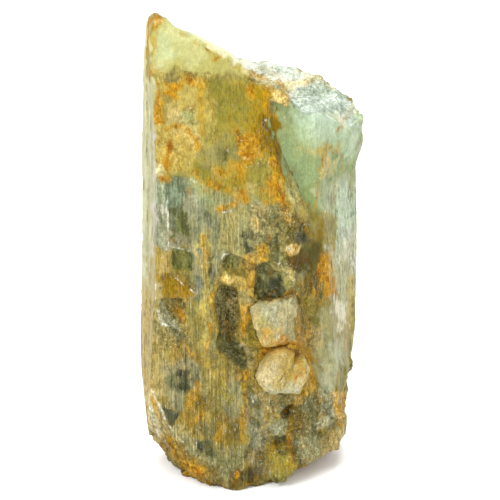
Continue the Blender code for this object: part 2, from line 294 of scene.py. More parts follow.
def ramp(values, low, high):
    """0 below low, 1 above high, and smooth between."""
    share = np.clip((values - low) / (high - low), 0, 1)
    return share * share * (3 - 2 * share)


def spread(mesh, values, rounds):
    """Averages a value at each point with its neighbours' values, several times."""
    ends = np.empty(len(mesh.edges) * 2, np.int64)
    mesh.edges.foreach_get("vertices", ends)
    a, b = ends.reshape(-1, 2).T
    count = np.bincount(ends, minlength=len(mesh.vertices)).astype(float)
    for _ in range(rounds):
        total = np.bincount(a, values[b], len(count)) + np.bincount(b, values[a], len(count))
        values = (values + total / count) / 2
    return values


# %% Patches of the photograph
WARP = 1.5
FINE_WARP = 0.4
BROAD_WAVE = 3.6
FINE_WAVE = 1.1
RIM = 0.05


def pixels_of(places):
    """The pixels that show places in mm, whether they are hidden or not."""
    away = places * MM - np.array(EYE)
    depth = away @ np.array(AHEAD)
    u = MIDDLE_PIXEL + FOCAL_PIXELS * (away @ np.array(RIGHT)) / depth
    v = MIDDLE_PIXEL - FOCAL_PIXELS * (away @ np.array(UP)) / depth
    return np.stack([u, v], axis=1)


def warped(places, amount=WARP):
    """The places, each moved a little, so that marks get natural edges."""
    broad = np.stack([field(places, BROAD_WAVE, seed, 1.3) for seed in (11, 12, 13)], axis=1)
    fine = np.stack([field(places, FINE_WAVE, seed, 1.2) for seed in (14, 15, 16)], axis=1)
    return places + amount * (broad + FINE_WARP * fine)


def patch_values(pixels, edge, outline):
    """How deep inside an outline each pixel is: 0.5 on the line, 1 when edge pixels inside."""
    inside = np.zeros(len(pixels), bool)
    gap = np.full(len(pixels), np.inf)
    for (au, av), (bu, bv) in zip(outline, outline[1:] + outline[:1]):
        along = np.array((bu - au, bv - av), float)
        share = np.clip(((pixels - (au, av)) @ along) / (along @ along), 0, 1)
        gap = np.minimum(gap, np.hypot(*(pixels - (au, av) - share[:, None] * along).T))
        if av != bv:
            crosses = (pixels[:, 1] > min(av, bv)) & (pixels[:, 1] <= max(av, bv))
            side = au + (pixels[:, 1] - av) * (bu - au) / (bv - av)
            inside ^= crosses & (pixels[:, 0] < side)
    return np.clip(0.5 + np.where(inside, gap, -gap) / edge / 2, 0, 1)


def sides_of(skin):
    """How much each point faces the camera, and how far round the back it is, from 0 to 1."""
    towards = -normals_of(skin.data) @ np.array(AHEAD)
    turned = ramp(towards, -RIM, RIM)
    facing = np.maximum(turned, spread(skin.data, turned, 8) > 0.5)
    hidden = 1 - ramp(spread(skin.data, ramp(towards, -RIM, 5 * RIM), 12), 0.25, 0.6)
    return facing, hidden


# %% Kinds of surface
# "fibre" is how strongly fine fibres show along the prism, "crumb" how rough and sparkling a
# broken place is, and "mottle" how cloudy the stone is. Each entry: width of the edge in pixels,
# how much, then the outline.
WEDGE = ((146, 10), (162, 10), (184, 26), (222, 44), (244, 58), (256, 76), (240, 77), (215, 72),
         (197, 70), (180, 71), (168, 77), (156, 82), (150, 60))
CLEAR_FACE = ((264, 122), (273, 118), (275, 96), (284, 106), (292, 106), (310, 111), (330, 111),
              (345, 110), (352, 104), (366, 118), (366, 142), (360, 160), (358, 176), (346, 186),
              (334, 186), (324, 200), (318, 216), (314, 216), (305, 200), (292, 180), (282, 160),
              (272, 136))
UPPER_FRONT = ((157, 82), (262, 78), (262, 160), (270, 200), (240, 210), (190, 178), (157, 184))
LEFT_BEVEL = ((138, 20), (150, 20), (157, 84), (158, 300), (138, 300))
HOLLOW = ((286, 256), (302, 250), (308, 224), (317, 214), (325, 244), (322, 262), (317, 270), (302, 270))
ZONE_STARTS = {"fibre": 0.5, "crumb": 0.12, "mottle": 0.7}
ZONE_EDGE = (0.15, 0.85)
ZONES = {
    "fibre": (
        (5, 0.05, WEDGE),
        (6, 0.06, UPPER_FRONT),
        (5, 0.12, CLEAR_FACE),
        (4, 0.75, ((190, 182), (216, 190), (262, 205), (262, 262), (246, 252), (222, 252), (212, 300),
                   (190, 300))),
        (6, 0.45, ((320, 186), (336, 182), (357, 170), (358, 395), (330, 398), (334, 300), (322, 250))),
        (6, 0.2, ((310, 306), (344, 306), (342, 392), (316, 392))),
        (2, 0.25, LEFT_BEVEL),
        (6, 1.0, ((156, 345), (214, 345), (248, 372), (248, 470), (225, 480), (180, 440), (160, 400))),
        (5, 0.8, ((184, 300), (216, 300), (220, 345), (184, 345))),
        (3, 0.05, HOLLOW),
        (3, 0.1, ((256, 266), (280, 262), (286, 292), (278, 300), (254, 302))),
    ),
    "crumb": (
        (5, 0.75, ((250, 204), (284, 206), (310, 222), (318, 296), (296, 298), (262, 300), (250, 268))),
        (5, 0.55, ((262, 296), (322, 296), (316, 392), (250, 394), (246, 350))),
        (6, 0.85, ((247, 392), (338, 392), (346, 420), (340, 450), (300, 470), (270, 484), (250, 470))),
        (4, 0.7, ((157, 296), (190, 296), (186, 345), (160, 352))),
        (4, 0.4, ((157, 128), (203, 130), (203, 153), (166, 183), (158, 182))),
        (3, 0.7, ((176, 106), (194, 104), (196, 124), (180, 128))),
        (4, 0.6, ((236, 130), (262, 130), (262, 165), (240, 165))),
        (3, 0.6, ((214, 283), (238, 285), (248, 368), (220, 350))),
        (4, 0.3, ((144, 396), (156, 400), (200, 458), (216, 486), (196, 482), (150, 440))),
        (3, 0.7, ((244, 64), (264, 70), (280, 84), (270, 90), (250, 84))),
        (3, 0.6, ((155, 64), (168, 64), (170, 82), (156, 84))),
        (3, 0.5, ((202, 128), (218, 128), (218, 138), (202, 138))),
        (4, 0.4, ((318, 148), (346, 148), (346, 172), (320, 176))),
        (3, 0.0, HOLLOW),
        (4, 0.35, ((298, 262), (320, 264), (320, 298), (298, 298))),
        (4, 0.3, ((268, 452), (297, 450), (299, 470), (286, 486), (266, 486))),
        (4, 0.4, ((246, 392), (262, 394), (264, 440), (262, 468), (246, 468))),
        (4, 0.4, ((324, 426), (350, 422), (344, 450), (322, 462))),
        (3, 0.3, ((266, 276), (284, 276), (286, 294), (278, 300), (260, 300))),
    ),
    "mottle": (
        (6, 0.45, UPPER_FRONT),
        (5, 0.2, WEDGE),
        (4, 0.3, CLEAR_FACE),
        (2, 0.2, LEFT_BEVEL),
        (3, 0.3, HOLLOW),
        (5, 0.4, ((186, 184), (206, 186), (218, 210), (216, 238), (188, 250))),
        (6, 0.4, ((310, 300), (346, 296), (344, 394), (314, 394))),
    ),
}


# %% How strongly a kind of surface shows
def zone_values(skin, facing, kind):
    """How strongly a kind of surface shows at each point of a piece."""
    places = points_of(skin.data) / MM
    pixels = pixels_of(warped(places))
    values = np.full(len(places), ZONE_STARTS[kind])
    for edge, amount, outline in ZONES[kind]:
        share = ramp(patch_values(pixels, edge, outline), *ZONE_EDGE) * facing
        values += (amount - values) * share
    return values


# %% [markdown]
# ## Small shifts of the edge
#
# The plain model's outline is made of straight runs. The real edge bulges or is cut back by a
# millimetre or two in places, so the skin is moved there before it gets its relief. An outline in
# pixels says where, and the shift fades out across the outline's edge.

# %% Shifts
# Each entry: how far in mm to the right, towards the camera and up, width of the edge in pixels,
# then the outline.
SHIFTS = (
    (1.1, 0.0, 0.0, 9, ((340, 363), (374, 361), (374, 390), (342, 392))),
    (1.0, 0.3, 0.0, 7, ((334, 410), (372, 410), (372, 434), (334, 438))),
    (0.1, 0.8, 0.0, 9, ((318, 450), (352, 444), (352, 486), (318, 486))),
    (-0.6, 1.9, 0.0, 11, ((132, 442), (172, 448), (206, 470), (214, 502), (132, 502))),
    (0.0, 1.5, 0.0, 8, ((204, 470), (242, 470), (242, 502), (204, 502))),
    (0.0, 0.9, 0.0, 5, ((276, 340), (304, 338), (306, 352), (280, 352))),
    (0.0, 0.0, 1.1, 9, ((284, 60), (326, 68), (326, 90), (286, 82))),
    (0.8, 0.0, 0.0, 8, ((350, 134), (374, 134), (374, 160), (350, 158))),
    (-0.3, 0.0, -0.8, 5, ((161, 0), (190, 14), (186, 28), (172, 24), (161, 17))),
)

crystal = skins["beryl_crystal"]
places = points_of(crystal.data) / MM
pixels = pixels_of(places)
for right, near, up, edge, outline in SHIFTS:
    share = ramp(patch_values(pixels, edge, outline), 0, 1)[:, None]
    places += share * (right, -near, up)
put_points(crystal.data, places * MM)
print("shifts of the edge:", len(SHIFTS))

# %% Sides and kinds of surface of the crystal
facing, hidden = sides_of(crystal)
looks = solid_looks["beryl_crystal"]
fibre, crumb, mottle = (zone_values(crystal, facing, kind) for kind in ("fibre", "crumb", "mottle"))
print("fibre and crumb, mean:", fibre.mean().round(2), crumb.mean().round(2))

# %% [markdown]
# ## Relief
#
# Three kinds of surface meet on the crystal. The prism's own faces carry fine ridges that run along
# it. Where the crystal broke, small flat facets lie at all angles, with steps between them. On the
# feldspar the facets are larger and softer. Each kind is a height in millimetres, worked out at
# every point from smooth noise, and the points move along their normals by it. The cracks between
# the facets are kept as a value too, because rust settles there.

# %% Facets
CRACK_WIDTH = 0.2


def blocks(places, size, slope, step, seed=0.0, stretch=1.0):
    """Facets with steps between them: their height in mm, and how near each place is to a crack."""
    scaled = places / (size, size, size * stretch) + seed * 7.7
    heights = np.empty(len(places))
    cracks = np.empty(len(places))
    for i, place in enumerate(scaled):
        gaps, middles = noise.voronoi(Vector(place))
        slant = noise.cell_vector(middles[0] * 13.7) * 2 - Vector((1, 1, 1))
        heights[i] = (Vector(place) - middles[0]).dot(slant) * size * slope + slant.x * step
        cracks[i] = gaps[1] - gaps[0]
    return heights, 1 - ramp(cracks, 0.0, CRACK_WIDTH)


# %% [markdown]
# A low lip of beryl stands around each seated grain, and it fades out within 2 mm. How near the
# grains are is measured from their own skins.

# %% Lip around the grains
LIP_HEIGHT = 0.55
LIP_START = 0.4
LIP_WIDTH = 1.8

places = points_of(crystal.data) / MM
grains = bmesh.new()
for node in ("feldspar_crystal", "feldspar_block"):
    grains.from_mesh(skins[node].data)
grain_surface = BVHTree.FromBMesh(grains)
grains.free()
gap = np.array([
    grain_surface.find_nearest(Vector(place) * MM, LIP_WIDTH * MM)[3] or LIP_WIDTH * MM for place in places
])
uneven = 1 + 0.6 * field(places, 1.2, 8)
lip = LIP_HEIGHT * (1 - ramp(gap / MM, LIP_START, LIP_WIDTH)) * facing * uneven
print("lip up to", lip.max().round(2), "mm high")

# %% Where the crystal is rugged
# A face of the solid that isn't upright is a break. The wedge and the worn top are smoother breaks.
LEVEL_TILT = 0.07
FULL_TILT = 0.22
WORN_SHARE = 0.6
WORN_FROM, WORN_FULL = 55, 62

broken = spread(crystal.data, ramp(np.abs(looks[:, 2]), LEVEL_TILT, FULL_TILT), 6)
in_wedge = ramp(patch_values(pixels_of(places), 4, WEDGE), 0.3, 0.7) * facing
worn_top = WORN_SHARE * ramp(places[:, 2], WORN_FROM, WORN_FULL)
rugged = np.maximum(broken * (1 - np.maximum(0.9 * in_wedge, worn_top)), crumb)
print("rugged, mean:", rugged.mean().round(2))

# %% Relief of the crystal
BIG_FACETS = {"size": 2.6, "slope": 0.26, "step": 0.2, "seed": 3, "stretch": 1.5}
SMALL_FACETS = {"size": 1.1, "slope": 0.3, "step": 0.1, "seed": 4, "stretch": 1.3}
FACET_LEVEL = 0.08
RIDGES = {"size": 1.3, "seed": 1, "stretch": 14}
FINE_RIDGES = {"size": 0.7, "seed": 2, "stretch": 9}
RIDGE_HEIGHT = 0.09
RIDGE_LEVEL = 0.6
FINE_RIDGE_HEIGHT = 0.07
BOX_MARGIN = 0.01 * MM


def kept_in_box(points):
    """The points, none of them past the box of the plain model."""
    return np.clip(points, np.array(cad_low) + BOX_MARGIN, np.array(cad_high) - BOX_MARGIN)


big, big_cracks = blocks(places, **BIG_FACETS)
small, small_cracks = blocks(places, **SMALL_FACETS)
cracks = np.maximum(big_cracks, 0.7 * small_cracks)
ridges = 1 - 2 * np.abs(field(places, **RIDGES))
ridges = RIDGE_HEIGHT * (ridges - RIDGE_LEVEL) + FINE_RIDGE_HEIGHT * field(places, **FINE_RIDGES)
height = (1 - rugged) * (0.2 + 0.8 * fibre) * ridges + rugged * (big + small - FACET_LEVEL) + lip
moved = places * MM + normals_of(crystal.data) * (height * MM)[:, None]
put_points(crystal.data, kept_in_box(moved))
print("relief in mm:", height.min().round(2), "to", height.max().round(2))

# %% Relief of the feldspar
GRAIN_FACETS = {"size": 2.8, "slope": 0.1, "step": 0.05, "seed": 5}
GRAIN_DIMPLE = 0.14
GRAIN_SWELL = 0.26
for node in ("feldspar_crystal", "feldspar_block"):
    grain = skins[node]
    places = points_of(grain.data) / MM
    low_facets, _ = blocks(places, **GRAIN_FACETS)
    height = low_facets + GRAIN_DIMPLE * field(places, 1.1, 6) + GRAIN_SWELL
    moved = (places + normals_of(grain.data) * height[:, None]) * MM
    put_points(grain.data, kept_in_box(moved))
    print(node, "relief in mm:", height.min().round(2), "to", height.max().round(2))

# %% [markdown]
# ## Soft colour
#
# Light goes some way into the crystal, so most of its colour has soft edges. These washes are laid
# one over another, each a named colour inside an outline. They are kept as one colour at each point,
# and the finish adds fibres, crumbs and crisp stains over them. Colours are written as a picture
# shows them, from 0 to 255.

# %% Colours
COLOURS = {
    "primrose": (216, 217, 152),
    "straw": (194, 186, 108),
    "lemon": (246, 234, 158),
    "ivory": (252, 250, 222),
    "candle": (246, 242, 192),
    "mint": (212, 236, 206),
    "rime": (236, 250, 232),
    "aqua": (192, 213, 168),
    "sage": (158, 178, 124),
    "reed": (146, 160, 96),
    "olive": (134, 126, 46),
    "khaki": (161, 149, 66),
    "ochre": (200, 168, 62),
    "brass": (178, 152, 58),
    "gold": (196, 152, 30),
    "amber": (206, 144, 20),
    "honey": (226, 180, 80),
    "bronze": (168, 138, 10),
    "umber": (106, 80, 4),
    "peat": (88, 66, 6),
    "tan": (176, 156, 86),
    "drab": (150, 134, 66),
    "silver": (198, 202, 166),
    "putty": (178, 178, 130),
    "pearl": (211, 210, 168),
    "lilac": (214, 206, 192),
    "buff": (204, 182, 117),
    "ash": (169, 165, 114),
    "sedge": (157, 156, 104),
    "stone": (142, 138, 90),
    "lichen": (116, 114, 64),
    "dusk": (122, 130, 110),
    "slate": (94, 92, 64),
    "pine": (92, 98, 44),
    "cream": (228, 206, 132),
    "custard": (216, 190, 110),
    "maize": (195, 178, 97),
    "vanilla": (240, 228, 168),
    "mist": (152, 154, 124),
    "loam": (146, 116, 10),
    "rufous": (110, 72, 8),
    "bog": (86, 80, 12),
}

# %% Washes of the upper front
# Each entry, here and below: colour, width of the edge in pixels, strength, then the outline.
START_COLOUR = "drab"
UPPER_WASHES = (
    ("khaki", 8, 1.0, ((154, 70), (264, 70), (264, 160), (282, 200), (262, 210), (220, 206), (186, 184),
                       (154, 186))),
    ("maize", 7, 0.9, ((154, 82), (196, 76), (206, 84), (208, 112), (204, 150), (190, 166), (166, 184),
                       (154, 184))),
    ("drab", 4, 0.8, ((158, 96), (174, 98), (178, 112), (170, 126), (160, 124))),
    ("cream", 4, 0.8, ((170, 109), (181, 109), (184, 119), (172, 121))),
    ("sage", 4, 0.6, ((183, 110), (194, 112), (194, 126), (184, 126))),
    ("amber", 4, 0.6, ((178, 76), (212, 75), (209, 88), (190, 88))),
    ("amber", 3, 0.7, ((165, 84), (178, 83), (178, 97), (166, 99))),
    ("amber", 3, 0.8, ((156, 100), (163, 101), (164, 122), (157, 123))),
    ("brass", 4, 0.7, ((196, 84), (206, 84), (207, 134), (198, 134))),
    ("olive", 6, 0.6, ((207, 80), (242, 82), (238, 122), (214, 128), (208, 100))),
    ("bronze", 3, 0.5, ((230, 94), (236, 94), (238, 132), (231, 132))),
    ("stone", 6, 0.65, ((196, 150), (226, 138), (238, 150), (226, 168), (204, 176))),
    ("olive", 4, 0.45, ((222, 146), (230, 148), (230, 162), (222, 162))),
    ("bronze", 5, 0.7, ((240, 84), (262, 88), (262, 134), (244, 132))),
    ("bronze", 4, 0.6, ((245, 84), (257, 86), (256, 100), (246, 99))),
    ("amber", 5, 0.7, ((232, 156), (246, 158), (246, 204), (232, 200))),
    ("olive", 6, 0.7, ((196, 168), (228, 174), (246, 188), (242, 204), (212, 194), (200, 182))),
    ("honey", 3, 0.6, ((214, 166), (228, 167), (227, 175), (215, 174))),
    ("khaki", 6, 0.8, ((246, 160), (264, 150), (276, 180), (270, 206), (250, 206))),
    ("amber", 4, 0.7, ((262, 178), (275, 178), (276, 202), (264, 204))),
    ("cream", 3, 0.4, ((248, 186), (258, 188), (258, 196), (250, 196))),
    ("maize", 4, 1.0, ((157, 136), (166, 127), (180, 125), (203, 132), (204, 150), (190, 158), (180, 170),
                       (166, 184), (158, 182))),
    ("cream", 4, 0.6, ((164, 128), (192, 128), (202, 136), (196, 146), (176, 140), (166, 150))),
    ("maize", 5, 0.8, ((176, 146), (198, 142), (196, 156), (182, 160))),
    ("straw", 3, 1.0, ((157, 156), (166, 156), (166, 174), (157, 174))),
    ("vanilla", 3, 1.0, ((156, 160), (166, 160), (166, 184), (156, 184))),
    ("khaki", 4, 0.5, ((172, 156), (187, 156), (182, 172), (172, 174))),
    ("amber", 4, 0.9, ((240, 132), (262, 130), (262, 152), (252, 158), (240, 158))),
)

# %% Washes of the wedge at the top left, and of the band behind its ridge, with painted glow
TOP_WASHES = (
    # The wedge's pale straw, primrose and aqua are painted glow of light through the thin stone.
    ("straw", 3, 1.0, WEDGE),
    ("primrose", 7, 1.0, ((152, 24), (174, 24), (202, 46), (212, 58), (180, 64), (160, 68), (154, 50))),
    ("aqua", 8, 0.3, ((158, 32), (172, 34), (176, 58), (160, 60))),
    ("primrose", 3, 0.7, ((160, 14), (170, 16), (196, 34), (222, 48), (216, 50), (190, 40), (172, 30))),
    ("straw", 6, 0.45, ((176, 46), (204, 48), (212, 58), (180, 62))),
    ("gold", 3, 0.6, ((144, 21), (154, 17), (156, 26), (149, 34), (149, 62), (145, 62))),
    ("maize", 4, 0.8, ((150, 66), (164, 64), (170, 78), (158, 84))),
    ("drab", 3, 0.8, ((164, 77), (178, 71), (205, 69), (238, 75), (252, 81), (240, 82), (205, 77),
                      (184, 77), (168, 86))),
    # The candle, ivory, rime and lemon of the band behind the ridge are painted glow of the thin rim.
    ("candle", 3, 1.0, ((176, 22), (200, 34), (222, 46), (240, 58), (262, 60), (285, 64), (318, 78),
                        (346, 92), (336, 98), (300, 91), (284, 88), (270, 78), (250, 72), (240, 66),
                        (222, 54), (205, 44), (184, 32))),
    ("ivory", 3, 0.8, ((240, 58), (262, 60), (285, 64), (318, 78), (330, 90), (300, 92), (284, 90),
                       (270, 78), (250, 72))),
    ("rime", 3, 0.9, ((244, 58), (262, 56), (290, 60), (314, 74), (292, 80), (266, 74), (250, 68))),
    ("ivory", 3, 0.6, ((228, 56), (240, 58), (246, 66), (232, 66))),
    ("rime", 2.5, 0.7, ((312, 78), (326, 80), (332, 88), (318, 87))),
    ("lemon", 2, 0.6, ((240, 66), (262, 72), (284, 82), (300, 80), (318, 77), (330, 84), (318, 82),
                       (300, 85), (283, 87), (262, 77))),
    ("maize", 4, 0.8, ((252, 76), (270, 79), (283, 88), (272, 93), (256, 86))),
    ("lemon", 2, 0.7, ((240, 68), (254, 71), (268, 77), (280, 84), (278, 90), (262, 80), (246, 75))),
)

# %% Washes of the left bevel
BEVEL_WASHES = (
    ("pearl", 2, 1.0, ((138, 20), (146, 20), (147, 76), (154, 84), (157, 180), (157, 276), (138, 276))),
    ("pearl", 8, 0.9, ((138, 262), (157, 262), (154, 296), (138, 300))),
    ("straw", 6, 0.3, ((138, 20), (150, 20), (153, 150), (138, 150))),
    ("putty", 2, 0.7, ((148, 82), (154, 86), (155, 200), (153, 270), (148, 270))),
    # Painted glow along the thin left edge:
    ("lemon", 2, 0.6, ((141, 20), (146, 20), (145, 120), (142, 120))),
    ("lilac", 1.5, 0.8, ((154, 120), (157.5, 120), (158, 240), (155, 262), (154, 300), (151, 300),
                         (153, 240))),
    ("tan", 4, 0.85, ((148, 256), (159, 256), (158, 294), (148, 294))),
    ("buff", 8, 1.0, ((138, 290), (154, 296), (164, 322), (160, 350), (152, 400), (138, 400))),
    ("tan", 6, 0.45, ((138, 284), (160, 276), (160, 330), (152, 392), (138, 392))),
    ("tan", 2, 0.7, ((146, 300), (152, 300), (156, 330), (150, 395), (146, 390))),
)

# %% Washes of the clear face and the strips beside it
CLEAR_WASHES = (
    ("sage", 3, 1.0, CLEAR_FACE),
    ("aqua", 9, 1.0, ((288, 100), (345, 100), (362, 110), (362, 160), (340, 160), (300, 142))),
    # Painted highlight near the top of the clear face:
    ("rime", 4, 0.85, ((306, 107), (342, 107), (342, 117), (312, 120))),
    ("mint", 7, 0.7, ((300, 108), (334, 108), (344, 118), (336, 134), (318, 138), (302, 126))),
    ("sage", 6, 0.6, ((264, 122), (284, 124), (292, 150), (300, 190), (314, 214), (300, 200), (280, 160))),
    ("reed", 6, 0.7, ((300, 188), (328, 176), (324, 196), (316, 216), (308, 210))),
    ("cream", 3, 0.45, ((300, 148), (322, 148), (320, 156), (304, 156))),
    ("ochre", 3, 0.7, ((319, 148), (336, 144), (340, 152), (326, 158), (321, 172))),
    ("cream", 4, 0.8, ((324, 158), (338, 156), (338, 174), (326, 174))),
    # A painted highlight at the top right, and painted glow along the thin right edge:
    ("ivory", 4, 0.9, ((338, 106), (354, 102), (354, 114), (342, 128), (334, 130))),
    ("rime", 4, 0.35, ((350, 120), (362, 120), (362, 156), (352, 156))),
    ("gold", 2, 1.0, ((258, 84), (271, 88), (271, 122), (260, 122))),
    ("sage", 2, 0.7, ((274, 100), (284, 104), (286, 121), (274, 121))),
    # Painted shade under the ledge down the left edge of the clear face, with rust in the recess:
    ("loam", 2, 1.0, ((255, 119), (269, 119), (274, 130), (277, 146), (284, 162), (288, 178), (283, 182),
                      (271, 164), (261, 146), (255, 132))),
    ("umber", 2, 0.4, ((262, 124), (270, 138), (280, 160), (276, 162), (266, 146))),
    ("maize", 2.5, 0.9, ((283, 178), (290, 176), (298, 190), (310, 208), (311, 220), (298, 214),
                         (287, 200))),
    ("primrose", 3, 0.6, ((286, 184), (293, 186), (306, 208), (302, 214), (290, 200))),
)

# %% Washes of the right side
RIGHT_WASHES = (
    ("silver", 5, 1.0, ((318, 190), (340, 178), (358, 160), (358, 300), (338, 300), (326, 256),
                        (318, 220))),
    ("sage", 12, 0.35, ((336, 170), (374, 150), (374, 215), (342, 215))),
    ("sage", 5, 0.6, ((320, 180), (334, 178), (335, 212), (320, 214))),
    ("mint", 4, 0.6, ((336, 182), (352, 182), (350, 240), (338, 240))),
    ("ivory", 4, 0.6, ((342, 236), (357, 232), (357, 262), (344, 262))),
    ("straw", 4, 0.45, ((336, 262), (348, 262), (346, 330), (338, 334), (334, 300))),
    ("khaki", 3, 0.9, ((319, 214), (334, 214), (335, 246), (321, 246))),
    ("umber", 4, 0.8, ((307, 222), (316, 216), (323, 240), (323, 264), (310, 266), (309, 240))),
    ("loam", 5, 0.9, ((310, 222), (318, 222), (321, 242), (316, 250), (310, 240))),
    ("khaki", 5, 0.7, ((312, 208), (318, 206), (319, 222), (313, 224))),
    ("amber", 4, 0.85, ((320, 254), (335, 254), (334, 296), (322, 296))),
    ("maize", 3, 0.8, ((345, 280), (358, 270), (356, 396), (345, 396), (347, 340))),
    ("ash", 6, 1.0, ((308, 306), (336, 312), (346, 350), (340, 398), (318, 398), (308, 360))),
    ("buff", 4, 0.85, ((308, 328), (322, 326), (324, 348), (310, 350))),
    # A painted highlight:
    ("ivory", 4, 0.75, ((333, 296), (344, 300), (346, 322), (338, 332))),
    ("silver", 5, 0.6, ((324, 338), (342, 338), (340, 374), (330, 374))),
    ("silver", 5, 0.7, ((318, 366), (336, 372), (336, 428), (322, 430))),
    ("olive", 3, 0.7, ((337, 366), (352, 362), (352, 386), (338, 390))),
)

# %% Washes of the middle
MIDDLE_WASHES = (
    ("sedge", 7, 0.9, ((186, 184), (218, 190), (264, 206), (262, 262), (246, 252), (220, 256), (210, 300),
                       (194, 300))),
    ("sage", 6, 0.5, ((184, 180), (206, 186), (214, 204), (210, 216), (190, 216))),
    ("sedge", 6, 0.8, ((250, 204), (282, 206), (310, 220), (316, 296), (262, 300), (252, 262))),
    ("stone", 4, 0.6, ((250, 232), (282, 236), (282, 256), (262, 262), (252, 250))),
    ("drab", 5, 0.6, ((270, 204), (284, 206), (286, 252), (270, 254))),
    ("ash", 5, 0.8, ((250, 205), (266, 205), (266, 241), (251, 241))),
    ("buff", 4, 0.9, ((252, 206), (267, 206), (267, 219), (253, 219))),
    ("lichen", 4, 0.8, ((267, 246), (281, 246), (282, 261), (268, 262))),
    ("cream", 3, 0.9, ((255, 218), (265, 220), (266, 232), (256, 230))),
    ("gold", 3, 0.8, ((256, 244), (265, 244), (264, 264), (257, 264))),
    ("maize", 3, 0.8, ((201, 232), (209, 232), (210, 300), (209, 350), (202, 350))),
    ("buff", 2, 0.6, ((197, 238), (202, 234), (203, 258), (199, 256))),
    ("dusk", 3, 0.8, ((156, 184), (186, 178), (192, 212), (193, 249), (157, 249))),
    ("mist", 3, 0.8, ((157, 184), (168, 184), (168, 249), (157, 249))),
    ("aqua", 3, 0.7, ((157, 184), (165, 184), (165, 206), (157, 206))),
    ("silver", 3, 0.4, ((161, 226), (170, 226), (170, 246), (161, 246))),
    ("sedge", 3, 0.8, ((190, 240), (199, 240), (199, 252), (190, 252))),
    ("mist", 4, 0.8, ((186, 196), (206, 196), (212, 214), (218, 222), (216, 238), (204, 232), (194, 236),
                      (188, 220))),
    ("silver", 4, 0.35, ((186, 196), (198, 196), (198, 210), (187, 210))),
    ("dusk", 3, 0.9, ((192, 240), (201, 248), (201, 300), (194, 300))),
    ("dusk", 3, 0.6, ((208, 238), (216, 240), (216, 284), (210, 284))),
    ("honey", 5, 0.75, ((244, 256), (256, 258), (256, 340), (244, 350))),
    ("stone", 3, 0.8, ((242, 288), (254, 288), (254, 304), (243, 304))),
    ("olive", 3, 0.9, ((240, 320), (256, 320), (259, 340), (242, 340))),
    ("vanilla", 2, 0.9, ((234, 341), (248, 344), (257, 352), (250, 354), (240, 347))),
    ("olive", 3, 0.7, ((284, 218), (308, 220), (310, 246), (284, 244))),
    ("khaki", 3, 0.7, ((284, 247), (302, 246), (296, 256), (284, 258))),
    ("lichen", 4, 0.5, ((272, 256), (285, 256), (286, 270), (273, 270))),
    ("peat", 6, 1.0, ((288, 256), (302, 251), (316, 244), (321, 258), (316, 269), (302, 271), (288, 270))),
    ("bog", 9, 0.85, ((296, 248), (314, 244), (316, 258), (304, 260))),
    ("rufous", 6, 0.5, ((286, 256), (298, 254), (304, 262), (296, 267), (289, 264))),
    ("khaki", 3, 0.6, ((283, 273), (298, 273), (298, 288), (284, 288))),
    ("cream", 2, 0.6, ((286, 271), (294, 272), (293, 280), (286, 278))),
    ("peat", 5, 0.8, ((298, 268), (318, 266), (318, 296), (300, 296))),
    ("bog", 5, 1.0, ((302, 266), (316, 264), (316, 294), (302, 294))),
    ("olive", 4, 0.9, ((300, 300), (316, 298), (318, 320), (302, 322))),
    ("bog", 4, 0.3, ((298, 310), (308, 308), (308, 330), (298, 330))),
    ("bronze", 5, 0.9, ((260, 338), (300, 336), (312, 350), (318, 386), (304, 396), (296, 360),
                        (262, 352))),
    ("honey", 3, 0.8, ((300, 330), (312, 330), (312, 396), (302, 396))),
    ("honey", 3, 1.0, ((280, 337), (303, 337), (304, 361), (284, 358))),
    ("cream", 3, 0.5, ((248, 348), (257, 346), (257, 362), (249, 362))),
)

